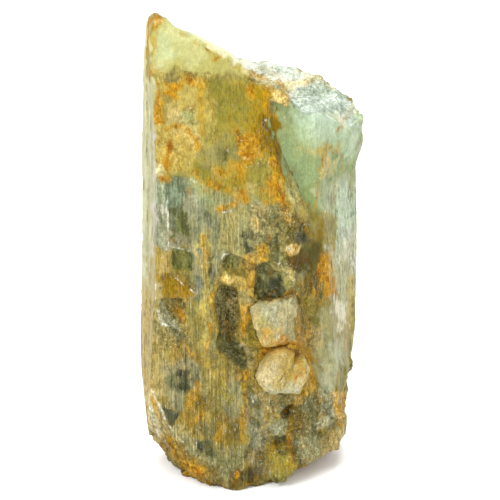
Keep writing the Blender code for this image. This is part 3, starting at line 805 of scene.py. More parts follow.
# %% Washes of the lower left
LOWER_LEFT_WASHES = (
    ("buff", 5, 0.8, ((157, 250), (172, 250), (176, 276), (160, 280))),
    ("bronze", 3, 0.7, ((157, 248), (163, 250), (164, 262), (158, 262))),
    ("pine", 5, 0.6, ((172, 260), (192, 262), (194, 284), (174, 280))),
    ("umber", 5, 0.7, ((168, 274), (188, 280), (190, 294), (172, 296))),
    ("loam", 4, 0.9, ((158, 276), (170, 272), (190, 292), (184, 300), (160, 300))),
    ("umber", 4, 0.55, ((174, 278), (191, 281), (192, 296), (176, 296))),
    ("tan", 5, 0.7, ((158, 298), (188, 300), (190, 340), (168, 344))),
    ("pearl", 3, 0.25, ((166, 320), (178, 322), (178, 334), (168, 334))),
    ("silver", 2.5, 0.6, ((154, 298), (159, 300), (165, 315), (177, 324), (175, 331), (163, 326),
                          (156, 314))),
    ("honey", 3, 0.7, ((177, 309), (185, 310), (184, 323), (178, 323))),
    ("lichen", 7, 0.4, ((184, 298), (202, 298), (204, 346), (184, 346))),
    ("drab", 6, 0.8, ((160, 344), (214, 344), (240, 380), (244, 450), (196, 440), (170, 400))),
    ("umber", 5, 0.45, ((178, 346), (200, 346), (202, 368), (180, 368))),
    ("stone", 4, 0.7, ((206, 334), (220, 340), (214, 362), (206, 360))),
    ("umber", 4, 0.25, ((162, 356), (182, 356), (182, 372), (164, 372))),
    ("mist", 6, 0.7, ((154, 388), (182, 392), (184, 410), (170, 412))),
    ("umber", 5, 0.45, ((184, 384), (204, 384), (206, 424), (190, 424))),
    ("khaki", 6, 0.6, ((220, 374), (240, 384), (240, 410), (222, 408))),
    ("umber", 4, 0.35, ((198, 396), (214, 396), (214, 412), (198, 412))),
    ("slate", 5, 0.7, ((204, 424), (216, 424), (216, 458), (198, 458))),
    ("mist", 6, 0.6, ((164, 364), (196, 362), (198, 384), (176, 396), (162, 390))),
    ("tan", 5, 0.6, ((152, 344), (176, 344), (170, 366), (156, 374))),
    ("ochre", 4, 0.4, ((206, 361), (217, 359), (216, 378), (206, 382))),
    ("stone", 5, 0.6, ((197, 374), (210, 374), (210, 398), (199, 396))),
    ("mist", 5, 0.5, ((226, 384), (239, 378), (240, 420), (229, 420))),
    ("loam", 5, 0.6, ((212, 426), (226, 424), (227, 446), (214, 448))),
    ("loam", 6, 0.4, ((180, 404), (196, 400), (198, 436), (184, 440))),
    ("bronze", 2, 0.45, ((240, 376), (246, 376), (245, 450), (239, 450))),
    ("mist", 4, 0.8, ((248, 392), (262, 392), (266, 440), (268, 474), (246, 474))),
    ("stone", 6, 0.9, ((210, 456), (242, 450), (248, 484), (216, 484))),
    # Painted shade along the bottom edge of the foot, in three washes:
    ("umber", 5, 0.8, ((230, 470), (248, 464), (250, 488), (230, 490))),
    ("slate", 5, 0.6, ((240, 468), (262, 466), (264, 482), (242, 484))),
    ("umber", 4, 0.5, ((229, 468), (244, 466), (244, 484), (230, 484))),
    ("ash", 4, 0.75, ((168, 424), (180, 424), (196, 440), (212, 458), (214, 468), (200, 464), (182, 452),
                      (172, 438))),
    ("umber", 5, 0.7, ((160, 442), (180, 440), (214, 474), (240, 486), (200, 486), (176, 468))),
    ("gold", 4, 0.8, ((166, 438), (180, 440), (184, 452), (170, 452))),
    ("honey", 4, 0.6, ((178, 452), (206, 470), (206, 480), (186, 474))),
    ("buff", 4, 0.5, ((154, 374), (166, 374), (166, 398), (156, 398))),
    ("umber", 4, 0.7, ((237, 364), (249, 366), (248, 378), (238, 377))),
    ("vanilla", 4, 0.8, ((142, 392), (151, 392), (160, 416), (170, 436), (160, 442), (148, 430))),
    ("tan", 3, 0.8, ((155, 425), (167, 425), (172, 440), (160, 440))),
    ("bronze", 4, 0.5, ((217, 420), (234, 420), (234, 442), (219, 442))),
    ("umber", 4, 0.5, ((217, 418), (246, 414), (246, 436), (219, 442))),
)

# %% Washes of the lower right
LOWER_RIGHT_WASHES = (
    ("stone", 5, 1.0, ((266, 392), (320, 396), (322, 440), (316, 462), (296, 466), (288, 440), (268, 420))),
    ("ash", 4, 0.55, ((266, 414), (286, 416), (288, 436), (268, 436))),
    ("buff", 3, 0.7, ((261, 394), (270, 394), (270, 410), (262, 410))),
    ("stone", 4, 0.9, ((272, 394), (300, 392), (308, 410), (286, 420), (274, 416))),
    ("umber", 3, 0.8, ((280, 404), (298, 402), (300, 414), (284, 418))),
    ("tan", 2.5, 1.0, ((283, 393), (298, 393), (298, 401), (285, 402))),
    ("silver", 4, 0.6, ((266, 426), (283, 428), (284, 439), (267, 440))),
    ("umber", 4, 1.0, ((286, 410), (299, 408), (301, 432), (290, 436))),
    ("loam", 4, 0.9, ((286, 430), (297, 412), (298, 462), (288, 462))),
    ("putty", 5, 0.8, ((304, 428), (320, 424), (320, 460), (302, 462))),
    ("drab", 4, 0.6, ((300, 412), (312, 412), (312, 440), (300, 440))),
    ("umber", 4, 0.75, ((288, 414), (304, 416), (304, 436), (290, 436))),
    ("khaki", 3, 1.0, ((268, 452), (296, 450), (297, 470), (286, 482), (268, 482))),
    ("gold", 4, 0.5, ((284, 452), (296, 454), (294, 472), (284, 470))),
    ("bronze", 3, 0.7, ((269, 436), (289, 436), (290, 452), (270, 452))),
    ("honey", 2.5, 1.0, ((336, 390), (346, 392), (346, 424), (337, 424))),
    ("vanilla", 3, 0.8, ((335, 416), (350, 414), (349, 436), (336, 438))),
    ("buff", 3, 1.0, ((328, 436), (348, 422), (340, 446), (320, 460))),
)
WASHES = (UPPER_WASHES + TOP_WASHES + BEVEL_WASHES + CLEAR_WASHES + RIGHT_WASHES + MIDDLE_WASHES
          + LOWER_LEFT_WASHES + LOWER_RIGHT_WASHES)
print("washes:", len(WASHES), "of", len(COLOURS), "colours")

# %% [markdown]
# ## Crisp stains, windows and glints
#
# Rust, flakes and clear windows do have clear edges. The finish reads each kind as its own value at
# each point and lets fine noise draw its edge.

# %% Patches
# "ice" is the sparkling break at the top, "grey" is dull stone, and "crust" and "cream" are crumbly
# coats. Each entry, here and below: width of the edge in pixels, strength, then the outline.
PATCHES = {
    "ice": (
        (3, 1.0, ((296, 87), (325, 86), (343, 94), (352, 102), (345, 110), (325, 112), (305, 113),
                  (298, 109))),
        (3, 0.6, ((284, 89), (299, 87), (300, 110), (292, 106))),
        (3, 0.25, ((256, 76), (274, 78), (284, 88), (272, 92), (258, 84))),
        (4, 0.75, ((340, 108), (354, 106), (356, 126), (344, 128))),
    ),
    "grey": (
        (4, 0.8, ((206, 212), (217, 212), (218, 238), (208, 240))),
        (4, 0.7, ((194, 220), (202, 222), (200, 242), (194, 240))),
        (4, 0.15, ((308, 320), (326, 318), (340, 330), (340, 348), (320, 350), (310, 340))),
    ),
    "crust": (
        (6, 0.7, ((158, 138), (166, 129), (180, 127), (198, 134), (202, 150), (186, 156), (176, 170),
                  (168, 180), (160, 178))),
        (4, 0.9, ((240, 134), (252, 132), (262, 138), (262, 150), (250, 154), (241, 152))),
        (5, 0.6, ((156, 84), (178, 84), (180, 98), (166, 100), (162, 122), (157, 122))),
        (5, 0.7, ((322, 256), (334, 256), (334, 290), (326, 292))),
        (5, 0.7, ((168, 440), (178, 444), (206, 472), (208, 482), (186, 474), (170, 456))),
        (4, 0.6, ((182, 77), (206, 76), (204, 88), (184, 88))),
        (5, 0.5, ((258, 340), (300, 340), (302, 350), (272, 350), (258, 366))),
    ),
    "cream": (
        (3, 1.0, ((272, 91), (279, 90), (287, 93), (290, 98), (290, 106), (284, 106), (273, 99))),
        (3, 0.62, ((217, 280), (225, 273), (238, 275), (243, 283), (239, 291), (234, 285), (224, 285))),
        # This cream patch is partly a painted highlight:
        (3, 1.0, ((285, 248), (290, 246), (301, 248), (298, 252), (288, 256), (285, 254))),
        (3, 0.9, ((154, 17), (162, 17), (162, 23), (155, 24))),
        (3, 0.7, ((244, 68), (262, 73), (266, 78), (252, 77))),
        (3, 0.7, ((240, 156), (252, 155), (251, 160), (241, 161))),
        (3, 0.7, ((284, 222), (289, 212), (293, 214), (290, 224))),
    ),
}

# %% Windows and the deep cavity
# The clear windows are named by their colours, and "dark" is the floor of the deep cavity.
PATCHES |= {
    "green": (
        (4, 0.8, ((164, 184), (169, 174), (176, 170), (186, 176), (185, 206), (168, 210), (164, 208))),
    ),
    "moss": (
        (3, 0.7, ((170, 206), (184, 207), (191, 214), (191, 236), (170, 237))),
        (3, 0.2, ((159, 226), (168, 226), (168, 246), (159, 246))),
        (2, 0.8, ((172, 246), (191, 247), (194, 260), (191, 271), (174, 271))),
        (2, 0.45, ((219, 261), (225, 255), (245, 258), (248, 265), (245, 275), (234, 274), (223, 272))),
        (3, 0.7, ((222, 150), (228, 151), (228, 159), (222, 160))),
    ),
    "bark": (
        (4, 1.0, ((284, 217), (296, 214), (306, 218), (312, 236), (309, 247), (296, 248), (284, 244))),
    ),
    "slate": (
        (4, 0.9, ((254, 268), (266, 262), (278, 274), (284, 290), (280, 298), (262, 302), (253, 304))),
        (4, 0.6, ((268, 208), (277, 206), (281, 222), (272, 230), (266, 222))),
        (4, 0.7, ((270, 236), (280, 236), (280, 260), (270, 262))),
        (4, 0.8, ((166, 374), (188, 372), (190, 390), (176, 394), (166, 388))),
        (4, 0.6, ((186, 366), (200, 366), (202, 384), (190, 388))),
        (3, 1.0, ((162, 407), (180, 414), (171, 427))),
        (4, 0.8, ((197, 440), (213, 440), (212, 455), (199, 454))),
        (3, 0.9, ((169, 327), (176, 327), (184, 338), (178, 345))),
        (4, 0.8, ((243, 230), (250, 230), (250, 254), (243, 254))),
        (4, 0.7, ((250, 398), (262, 400), (262, 424), (252, 424))),
        (4, 0.7, ((256, 448), (268, 450), (268, 466), (256, 466))),
        # Painted shade along the bottom edge of the foot:
        (4, 0.7, ((240, 472), (262, 470), (262, 482), (242, 483))),
        (4, 0.6, ((205, 256), (214, 256), (214, 282), (207, 282))),
        (3, 1.0, ((219, 333), (237, 335), (243, 351), (250, 367), (243, 370), (228, 359), (218, 346))),
    ),
    "black": (
        (4, 1.0, ((270, 278), (280, 277), (285, 291), (279, 299), (262, 301), (266, 290))),
        (3, 0.9, ((178, 371), (187, 372), (188, 388), (180, 390))),
        (2, 1.0, ((164, 408), (179, 415), (171, 426))),
        (3, 0.7, ((199, 442), (206, 442), (206, 454), (200, 453))),
        (3, 0.7, ((288, 231), (304, 230), (309, 240), (304, 245), (288, 243))),
        (3, 0.7, ((219, 284), (230, 287), (232, 296), (220, 296))),
        (3, 0.4, ((226, 347), (238, 350), (246, 362), (238, 365), (228, 356))),
        (3, 0.6, ((242, 234), (248, 234), (250, 252), (244, 252))),
        # Painted shade in the pit at the lower right:
        (3, 0.8, ((284, 406), (292, 405), (294, 413), (286, 414))),
    ),
    "dark": (
        (3, 0.8, ((218, 284), (226, 286), (235, 287), (238, 303), (240, 322), (239, 333), (220, 334),
                  (215, 312), (214, 298))),
    ),
}

# %% Lines of rust
# Each entry, here and below: half width in pixels, strength, then the line.
STROKES = {
    "rust": (
        (1.6, 1.0, ((160, 18), (155, 16), (149, 21), (147, 28), (147, 36))),
        (1.5, 0.85, ((158, 23), (152, 28))),
        (1.6, 0.9, ((148, 34), (149, 52), (150, 64))),
        (2.4, 1.0, ((150, 63), (150.5, 75))),
        (2.4, 0.95, ((159, 104), (160, 120))),
        (2.6, 0.75, ((186, 79), (191, 83))),
        (2.6, 0.95, ((173, 88), (177, 87))),
        (2.0, 0.9, ((166, 93), (176, 96))),
        (1.6, 0.8, ((157, 84), (158, 104))),
        (1.5, 0.5, ((200, 80), (201, 100), (202, 135))),
        (1.2, 0.45, ((211, 84), (212, 130))),
        (2.2, 0.9, ((249, 88), (251, 98))),
        (1.6, 0.5, ((252, 98), (254, 126))),
        (3.2, 1.0, ((243, 140), (250, 146), (258, 142))),
        (2.6, 1.0, ((240, 153), (252, 154))),
        (1.6, 0.9, ((238, 134), (240, 152))),
        (1.9, 1.0, ((170, 142), (170, 155), (168, 167))),
        (2.2, 0.8, ((163, 179), (169, 178))),
        (1.8, 0.85, ((188, 132), (197, 140), (200, 149))),
        (1.4, 0.8, ((165, 129), (176, 126), (190, 131))),
        (1.5, 0.4, ((163, 131), (158, 142), (158, 170))),
        (3.0, 0.5, ((192, 174), (199, 177), (206, 185))),
        (4.4, 0.6, ((207, 184), (217, 187))),
        (3.0, 0.5, ((218, 187), (230, 191), (245, 195))),
        (2.2, 0.95, ((243, 193), (246, 200))),
        (2.4, 0.6, ((217, 170), (223, 172))),
        (1.6, 0.75, ((219, 209), (226, 207), (235, 203))),
        (2.0, 0.6, ((239, 160), (240, 180), (238, 198))),
        (2.0, 1.0, ((270, 160), (275, 170), (280, 180))),
        (3.2, 1.0, ((275, 180), (279, 197))),
        (2.0, 1.0, ((282, 198), (285, 208))),
        (2.6, 0.95, ((286, 211), (288, 218))),
        (1.0, 0.6, ((285, 199), (293, 212), (303, 222), (311, 238))),
        (1.8, 0.7, ((204, 236), (205, 252))),
        (1.3, 0.5, ((205, 252), (206, 286), (209, 300), (208, 348))),
        (1.6, 0.95, ((209, 324), (210, 331))),
        (2.0, 0.7, ((261, 245), (262, 262))),
        (1.2, 0.8, ((252, 262), (252, 290))),
        (1.8, 0.5, ((256, 222), (262, 230))),
        (1.0, 0.55, ((318, 184), (316, 198), (315, 213))),
        (1.4, 0.6, ((350, 109), (346, 117), (340, 127), (336, 131))),
        (1.6, 1.0, ((341, 155), (342, 168))),
        (1.0, 0.8, ((325, 150), (322, 160), (322, 168))),
        (1.8, 1.0, ((324, 260), (323, 271), (327, 279), (330, 288), (333, 294))),
        (1.6, 0.95, ((330, 256), (333, 270))),
        (1.3, 0.95, ((319, 266), (321, 278), (317, 294))),
        (1.6, 0.95, ((285, 296), (290, 292), (297, 294))),
        (1.3, 0.95, ((297, 298), (298, 314), (299, 330))),
        (2.8, 1.0, ((264, 352), (272, 346), (282, 345))),
        (4.0, 0.8, ((282, 343), (300, 346))),
        (2.2, 0.9, ((262, 344), (264, 358))),
        (2.4, 0.95, ((306, 353), (309, 368), (313, 382))),
        (1.8, 0.6, ((308, 319), (311, 328))),
        (1.4, 0.85, ((313, 287), (315, 297))),
        (1.6, 0.95, ((318, 300), (319, 302))),
        (1.3, 1.0, ((243, 320), (243, 337))),
        (2.2, 0.8, ((242, 311), (249, 318))),
        (1.1, 0.9, ((217, 281), (213, 297), (213, 315), (218, 331))),
        (2.2, 0.95, ((298, 392), (299, 402))),
        (1.2, 0.95, ((303, 392), (293, 403), (285, 412), (275, 417))),
        (1.6, 0.45, ((290, 418), (292, 434))),
        (1.8, 0.95, ((290, 434), (291, 460))),
        (2.4, 0.95, ((340, 394), (340, 410), (341, 423))),
        (1.4, 0.9, ((338, 372), (338, 380))),
        (3.2, 1.0, ((167, 441), (172, 448))),
        (2.6, 0.95, ((172, 452), (182, 464))),
        (3.2, 0.95, ((186, 464), (200, 474))),
        (2.6, 0.9, ((196, 476), (206, 482))),
        (1.4, 0.5, ((152, 398), (158, 412), (163, 428))),
        (1.5, 0.7, ((146, 400), (148, 424), (152, 434))),
        (2.6, 0.6, ((199, 385), (193, 398), (188, 404))),
        (2.4, 0.8, ((201, 413), (197, 422))),
        (1.0, 0.7, ((244, 380), (244, 400), (243, 430))),
        (1.2, 0.9, ((243, 430), (240, 442))),
        (1.7, 0.5, ((222, 424), (217, 440))),
        (1.1, 0.8, ((239, 468), (237, 476))),
        (2.6, 1.0, ((248, 372), (244, 378))),
        (2.0, 0.95, ((279, 81), (283, 89))),
        (1.6, 0.85, ((249, 74), (262, 79))),
        (2.8, 0.9, ((178, 309), (182, 318))),
        (1.3, 0.42, ((176, 31), (190, 40), (204, 49), (214, 54), (222, 58), (232, 65), (242, 71))),
        (1.2, 0.8, ((216, 60), (221, 57))),
        (1.4, 0.4, ((186, 348), (192, 356))),
    ),
}

# %% Lines of other kinds
# "deep" is the reddest rust, and "umber" and "dark" are cracks, apart from a few lines of painted shade.
STROKES |= {
    "deep": (
        (1.2, 1.0, ((150, 66), (151, 74))),
        (1.4, 0.95, ((188, 79), (190, 82))),
        (1.2, 0.9, ((170, 143), (170, 154))),
        (1.7, 1.0, ((279, 188), (281, 200))),
        (1.1, 1.0, ((326, 271), (329, 284))),
        (1.1, 0.95, ((319, 270), (320, 277))),
        (1.7, 1.0, ((247, 374), (250, 376))),
        (1.4, 1.0, ((236, 474), (238, 470))),
        (1.1, 0.9, ((200, 414), (199, 420))),
        (1.2, 0.8, ((310, 356), (312, 370))),
        (1.0, 0.95, ((243, 323), (243, 334))),
        (1.4, 0.6, ((295, 257), (292, 261))),
        (1.1, 0.9, ((243, 154), (250, 155))),
        (1.7, 0.85, ((196, 470), (202, 476))),
        (1.5, 0.95, ((168, 443), (171, 448))),
        (1.1, 0.9, ((341, 158), (341, 166))),
        (1.1, 0.8, ((291, 440), (292, 456))),
        (1.0, 0.8, ((277, 162), (283, 176))),
        (1.4, 0.8, ((160, 178), (163, 179))),
    ),
    "umber": (
        (1.1, 0.8, ((205, 48), (222, 58), (238, 71), (256, 83))),
        (0.8, 0.85, ((172, 75), (184, 72), (205, 71), (232, 75))),
        (1.0, 0.9, ((261, 88), (262, 119))),
        # Painted shade along the step beside the clear face, in two lines:
        (1.0, 1.0, ((263, 121), (275, 138), (288, 168), (300, 192))),
        (0.9, 0.9, ((284, 204), (300, 222), (312, 246))),
        (0.9, 0.8, ((147, 80), (148, 200), (148, 300))),
    ),
    "dark": (
        # Painted shadow under the ledge at the top of the clear face:
        (1.1, 1.0, ((262, 121), (268, 130))),
        (1.2, 0.95, ((168, 302), (182, 300))),
        (1.5, 0.95, ((173, 311), (175, 321))),
        (1.8, 0.95, ((169, 326), (177, 336))),
        (1.6, 1.0, ((163, 425), (169, 435))),
        (1.0, 0.9, ((305, 334), (305, 352))),
        # Painted shade in the pit at the lower right:
        (2.2, 1.0, ((288, 409), (294, 412))),
        (1.2, 0.95, ((257, 387), (259, 390))),
        (0.8, 0.8, ((340, 342), (340, 370))),
        (1.3, 0.9, ((221, 346), (231, 350), (236, 362))),
        (1.2, 1.0, ((272, 448), (270, 441), (276, 437), (285, 438), (290, 444), (288, 450), (278, 452))),
        (0.9, 0.9, ((151, 330), (151, 386))),
        (1.0, 0.8, ((280, 276), (286, 290))),
    ),
}

# %% Pale flaws and painted glints
STROKES |= {
    # Short dots and dashes among these lines are painted glints; the longer lines are pale flaws.
    "white": (
        (1.1, 1.0, ((163, 186), (167, 197), (168, 249))),
        (1.1, 0.7, ((163, 206), (163, 222))),
        (1.1, 0.7, ((168, 245), (178, 248), (191, 249))),
        (0.8, 0.85, ((264, 121), (284, 122), (292, 124))),
        (0.9, 0.95, ((190, 180), (199, 186))),
        (0.8, 0.7, ((227, 150), (228, 151))),
        (0.9, 0.95, ((233, 155), (234, 156))),
        (0.9, 0.9, ((210, 131), (212, 132))),
        (0.9, 0.85, ((216, 133), (218, 134))),
        (1.0, 1.0, ((155, 297), (155, 304), (159, 316), (163, 323), (170, 327))),
        (1.0, 1.0, ((180, 303), (189, 304))),
        (1.2, 0.9, ((172, 325), (179, 330))),
        (1.15, 0.8, ((151, 388), (158, 403), (168, 424), (180, 438), (191, 450))),
        (1.9, 1.0, ((151, 410), (155, 424), (159, 437))),
        (0.7, 0.95, ((198, 443), (198, 451))),
        (0.9, 0.9, ((235, 343), (248, 347), (246, 351))),
        (0.7, 0.85, ((161, 339), (167, 348))),
        (0.7, 0.85, ((164, 337), (170, 346))),
        (1.3, 1.0, ((286, 248), (289, 250))),
        (0.9, 0.9, ((307, 224), (309, 225))),
        (0.6, 0.8, ((170, 273), (183, 284), (199, 297))),
        (0.8, 0.9, ((157, 181), (158, 240), (155, 262), (155, 296))),
        (0.8, 0.75, ((335, 382), (336, 398))),
        (0.7, 0.85, ((282, 116), (282, 123))),
        (0.8, 0.85, ((218, 264), (225, 254), (245, 257))),
        (1.0, 0.9, ((275, 266), (279, 262), (281, 256))),
        (1.0, 0.9, ((273, 206), (274, 207))),
        (1.0, 0.9, ((252, 396), (253, 402))),
        (1.2, 0.8, ((224, 212), (231, 210))),
        (0.9, 0.8, ((288, 272), (290, 275))),
        (0.7, 0.7, ((142.5, 60), (142.5, 150))),
    ),
}

print("patches:", sum(map(len, PATCHES.values())), "and lines:", sum(map(len, STROKES.values())))

# %% [markdown]
# The two grains of feldspar have washes and lines of their own: cream and ochre, with rust where
# they meet the beryl and along the groove of the split one.

# %% Washes and lines on the feldspar
GRAIN_START = "cream"
GRAIN_WASHES = (
    # the square grain
    ("ash", 5, 0.9, ((250, 298), (300, 296), (302, 344), (284, 346), (262, 330))),
    ("pearl", 5, 0.5, ((262, 302), (292, 300), (290, 330), (268, 330))),
    # Painted shadow along the top edge of the square grain:
    ("bronze", 3, 0.5, ((248, 298), (296, 290), (298, 298), (262, 304), (250, 310))),
    ("straw", 4, 0.9, ((258, 322), (274, 326), (274, 346), (262, 344))),
    ("buff", 4, 0.5, ((284, 304), (294, 304), (294, 336), (284, 336))),
    ("loam", 2, 1.0, ((296, 294), (306, 298), (306, 348), (297, 346))),
    # Painted shadow along the top edge of the square grain:
    ("umber", 3, 1.0, ((246, 296), (262, 292), (290, 289), (290, 298), (262, 301), (250, 310))),
    ("honey", 5, 0.9, ((262, 330), (280, 328), (282, 350), (260, 350))),
    ("amber", 4, 0.9, ((278, 336), (302, 334), (302, 352), (276, 352))),
    # the split grain
    ("custard", 3, 1.0, ((254, 350), (292, 348), (290, 384), (262, 392), (252, 380))),
    ("ivory", 6, 0.25, ((254, 366), (278, 360), (282, 388), (260, 390))),
    ("ochre", 4, 0.9, ((284, 358), (306, 352), (308, 372), (300, 384), (286, 380))),
    ("honey", 3, 1.0, ((284, 346), (303, 348), (304, 359), (288, 358))),
    ("custard", 3, 0.8, ((292, 372), (306, 372), (300, 386), (290, 386))),
    ("pearl", 3, 0.7, ((262, 384), (304, 384), (302, 396), (264, 396))),
    ("honey", 3, 0.8, ((264, 344), (286, 344), (284, 350), (268, 352))),
)
GRAIN_STROKES = {
    "rust": (
        (1.6, 1.0, ((268, 352), (276, 347), (284, 346))),
        (2.0, 1.0, ((294, 379), (298, 376), (301, 374))),
        (1.8, 0.9, ((294, 361), (300, 364), (302, 370))),
        (1.4, 0.8, ((292, 350), (298, 356))),
        (1.2, 0.9, ((298, 300), (299, 316), (300, 336))),
        (1.4, 0.8, ((266, 342), (282, 345), (298, 342))),
        (1.4, 0.4, ((252, 300), (270, 297), (288, 295))),
        (1.2, 0.7, ((262, 330), (266, 342))),
    ),
    "deep": ((1.0, 1.0, ((296, 378), (300, 375))),),
    "umber": ((0.9, 1.0, ((293, 359), (286, 372), (277, 386))),),
    # Pale lines and painted glints:
    "white": (
        (1.0, 0.9, ((266, 324), (268, 330))),
        (0.9, 0.8, ((298, 350), (300, 356))),
        (1.0, 0.6, ((282, 392), (300, 390))),
        (0.8, 0.7, ((276, 308), (277, 318))),
    ),
}

print("washes on the feldspar:", len(GRAIN_WASHES))

# %% [markdown]
# ## Laying the marks
#
# A line is followed along the surface: rays from the camera through its pixels find its places on
# the skin, and each point near them is marked. A patch or a wash needs no rays, only the pixel that
# shows each point. All edges are made ragged by noise. A wash keeps its own colour, so each one
# laid covers those before it. A crisp mark keeps a value of its kind, and the finish colours it.

# %% Finding pixels on the surface
STROKE_STEP = 1.5

everything = bmesh.new()
for skin in skins.values():
    everything.from_mesh(skin.data)
surface = BVHTree.FromBMesh(everything)
everything.free()


def on_surface(u, v):
    """The place in mm that a pixel shows, or the nearest one where it shows none."""
    across, up = (u - MIDDLE_PIXEL) / FOCAL_PIXELS, (v - MIDDLE_PIXEL) / FOCAL_PIXELS
    ray = AHEAD + across * RIGHT - up * UP
    place = surface.ray_cast(EYE, ray.normalized())[0]
    if place is None:
        place = surface.find_nearest(EYE + ray * VIEW_DISTANCE)[0]
    return np.array(place) / MM


def stroke_values(places, width, pixels):
    """How strongly a stroke of this half width in pixels marks each place: 0.5 at its edge."""
    samples = []
    for (au, av), (bu, bv) in zip(pixels, pixels[1:] + pixels[-1:]):
        count = max(1, round(math.hypot(bu - au, bv - av) / STROKE_STEP))
        samples += [on_surface(au + (bu - au) * k / count, av + (bv - av) * k / count) for k in range(count)]
    samples = np.array(samples)
    half = width / PIXELS_PER_MM
    near = np.all((places > samples.min(0) - 2 * half) & (places < samples.max(0) + 2 * half), axis=1)
    values = np.zeros(len(places))
    chosen = places[near]
    if len(chosen):
        gap = np.full(len(chosen), np.inf)
        for sample in samples:
            gap = np.minimum(gap, ((chosen - sample) ** 2).sum(axis=1))
        values[near] = np.clip(1 - 0.5 * np.sqrt(gap) / half, 0, 1)
    return values


print("the middle pixel shows, in mm:", on_surface(MIDDLE_PIXEL, MIDDLE_PIXEL).round(1))

# %% Colours of the finish
# A picture shows a surface's own colour, a little sheen from it, and how strong the light is. So
# the sheen is taken off and the rest dimmed.
SHEEN = 0.006
EXPOSED = 0.69
LEAST_LIGHT = 0.002


def light_of(values):
    """Colours as a picture shows them, 0 to 255, turned into a shader's colours."""
    share = np.asarray(values, float) / 255
    light = np.where(share < 0.0405, share / 12.92, ((share + 0.055) / 1.055) ** 2.4)
    return EXPOSED * np.maximum(light - SHEEN, LEAST_LIGHT)


def laid(colours, name, share):
    """Lays a named colour over the points' colours."""
    return colours + share[:, None] * (light_of(COLOURS[name]) - colours)


# %% Washing
WASH_GRAINS = (2.2, 3.2, 4.0)
FRAY = 0.6
WASH_EDGE = (0.25, 0.75)
SOFT_FROM = 2.5
SOFTER = 1.7


def ragged_noise(places, size):
    """Noise of three sizes together, which makes the edge of a wash ragged."""
    return (0.7 * field(places, size, 31 + size, 1.4) + 0.5 * field(places, 0.45 * size, 41 + size, 1.2)
            + 0.3 * field(places, 0.7, 47 + size))


def washed(skin, start, washes, facing):
    """The colour of each point of a piece after its washes."""
    places = points_of(skin.data) / MM
    pixels = pixels_of(warped(places))
    ragged = [ragged_noise(places, size) for size in WASH_GRAINS]
    colours = np.tile(light_of(COLOURS[start]), (len(places), 1))
    for number, (name, edge, strength, outline) in enumerate(washes):
        values = patch_values(pixels, edge * (SOFTER if edge > SOFT_FROM else 1), outline)
        share = ramp(values + FRAY * ragged[number % len(ragged)] * (values > 0), *WASH_EDGE)
        colours = laid(colours, name, strength * share * facing)
    return colours


# %% Crisp marks
CRISP_WARP = 0.5
BLEEDING = ("rust", "deep")
BLEED = 1.5
MARK_KINDS = sorted({*PATCHES, *STROKES})


def crisp(skin, patches, strokes, facing):
    """Every crisp kind's value at each point of a piece."""
    places = points_of(skin.data) / MM
    bent = warped(places, CRISP_WARP)
    pixels = pixels_of(bent)
    ragged = 0.25 * field(places, 1.7, 33, 1.4) + 0.2 * field(places, 0.8, 34, 1.4)
    blotches = 0.8 + 0.5 * field(places, 1.9, 35, 1.3) + 0.25 * field(places, 0.7, 36, 1.2)
    found = {kind: np.zeros(len(places)) for kind in MARK_KINDS}
    for kind, entries in patches.items():
        for edge, strength, outline in entries:
            values = patch_values(pixels, edge, outline)
            values = np.clip(values + ragged * (values > 0), 0, 1)
            found[kind] = np.maximum(found[kind], strength * values * facing)
    for kind, entries in strokes.items():
        wide, breaks = (BLEED, blotches) if kind in BLEEDING else (1, 1)
        for width, strength, line in entries:
            values = strength * stroke_values(bent, wide * width, line)
            found[kind] = np.maximum(found[kind], np.clip(values * breaks, 0, 1))
    return found


# %% The crystal's photographed side
colours = washed(crystal, START_COLOUR, WASHES, facing)
marks = crisp(crystal, PATCHES, STROKES, facing)
past_edge = {kind: round(float((values > 0.5).mean()), 3) for kind, values in marks.items()}
print("marks, share of the points past the edge:", past_edge)

# %% [markdown]
# ## The sides that the photograph hides
#
# The photograph shows one side. On the real crystal the other faces look much the same: rust along
# the rims and in a few cracks that run with the prism, pale fibres, clearer patches between. Here
# they come from slow noise and from seeded streaks, and they fade in where the photograph ends.

# %% Washes away from the camera
# Each entry: colour, size of its noise in mm, how much longer along the prism, and the noise's
# value where the wash starts.
HIDDEN_WASHES = (
    ("ash", 9, 1.6, -0.1),
    ("sage", 13, 1.8, 0.0),
    ("silver", 5, 4.0, 0.04),
    ("khaki", 8, 1.5, 0.12),
    ("maize", 7, 1.8, 0.16),
    ("lichen", 5, 2.2, 0.2),
    ("ochre", 4, 2.4, 0.26),
)
HIDDEN_STRENGTH = 0.85
HIDDEN_EDGE = 0.16
FIRST_SEED = 50
TOP_START = 52

places = points_of(crystal.data) / MM
bent = warped(places)
level = ramp(looks[:, 2], 0.25, 0.45) * (places[:, 2] > TOP_START)
top = spread(crystal.data, level, 3)
for number, (name, size, stretch, start) in enumerate(HIDDEN_WASHES):
    values = field(bent, size, FIRST_SEED + number, stretch)
    colours = laid(colours, name, HIDDEN_STRENGTH * ramp(values, start, start + HIDDEN_EDGE) * hidden)
colours = laid(colours, "mint", top * hidden)
print("hidden share of the points:", hidden.mean().round(2))

# %% Rust streaks away from the camera
STREAK_SEED = 5
HIDDEN_STREAKS = 18
FAR_RADIUS = 19
STREAK_ANGLE = (70, 290)
STREAK_TOP = (10, 90)
STREAK_LENGTH = (6, 34)
STREAK_HALF = (0.3, 1.3)
STREAK_SWAY = (-0.25, 0.25)


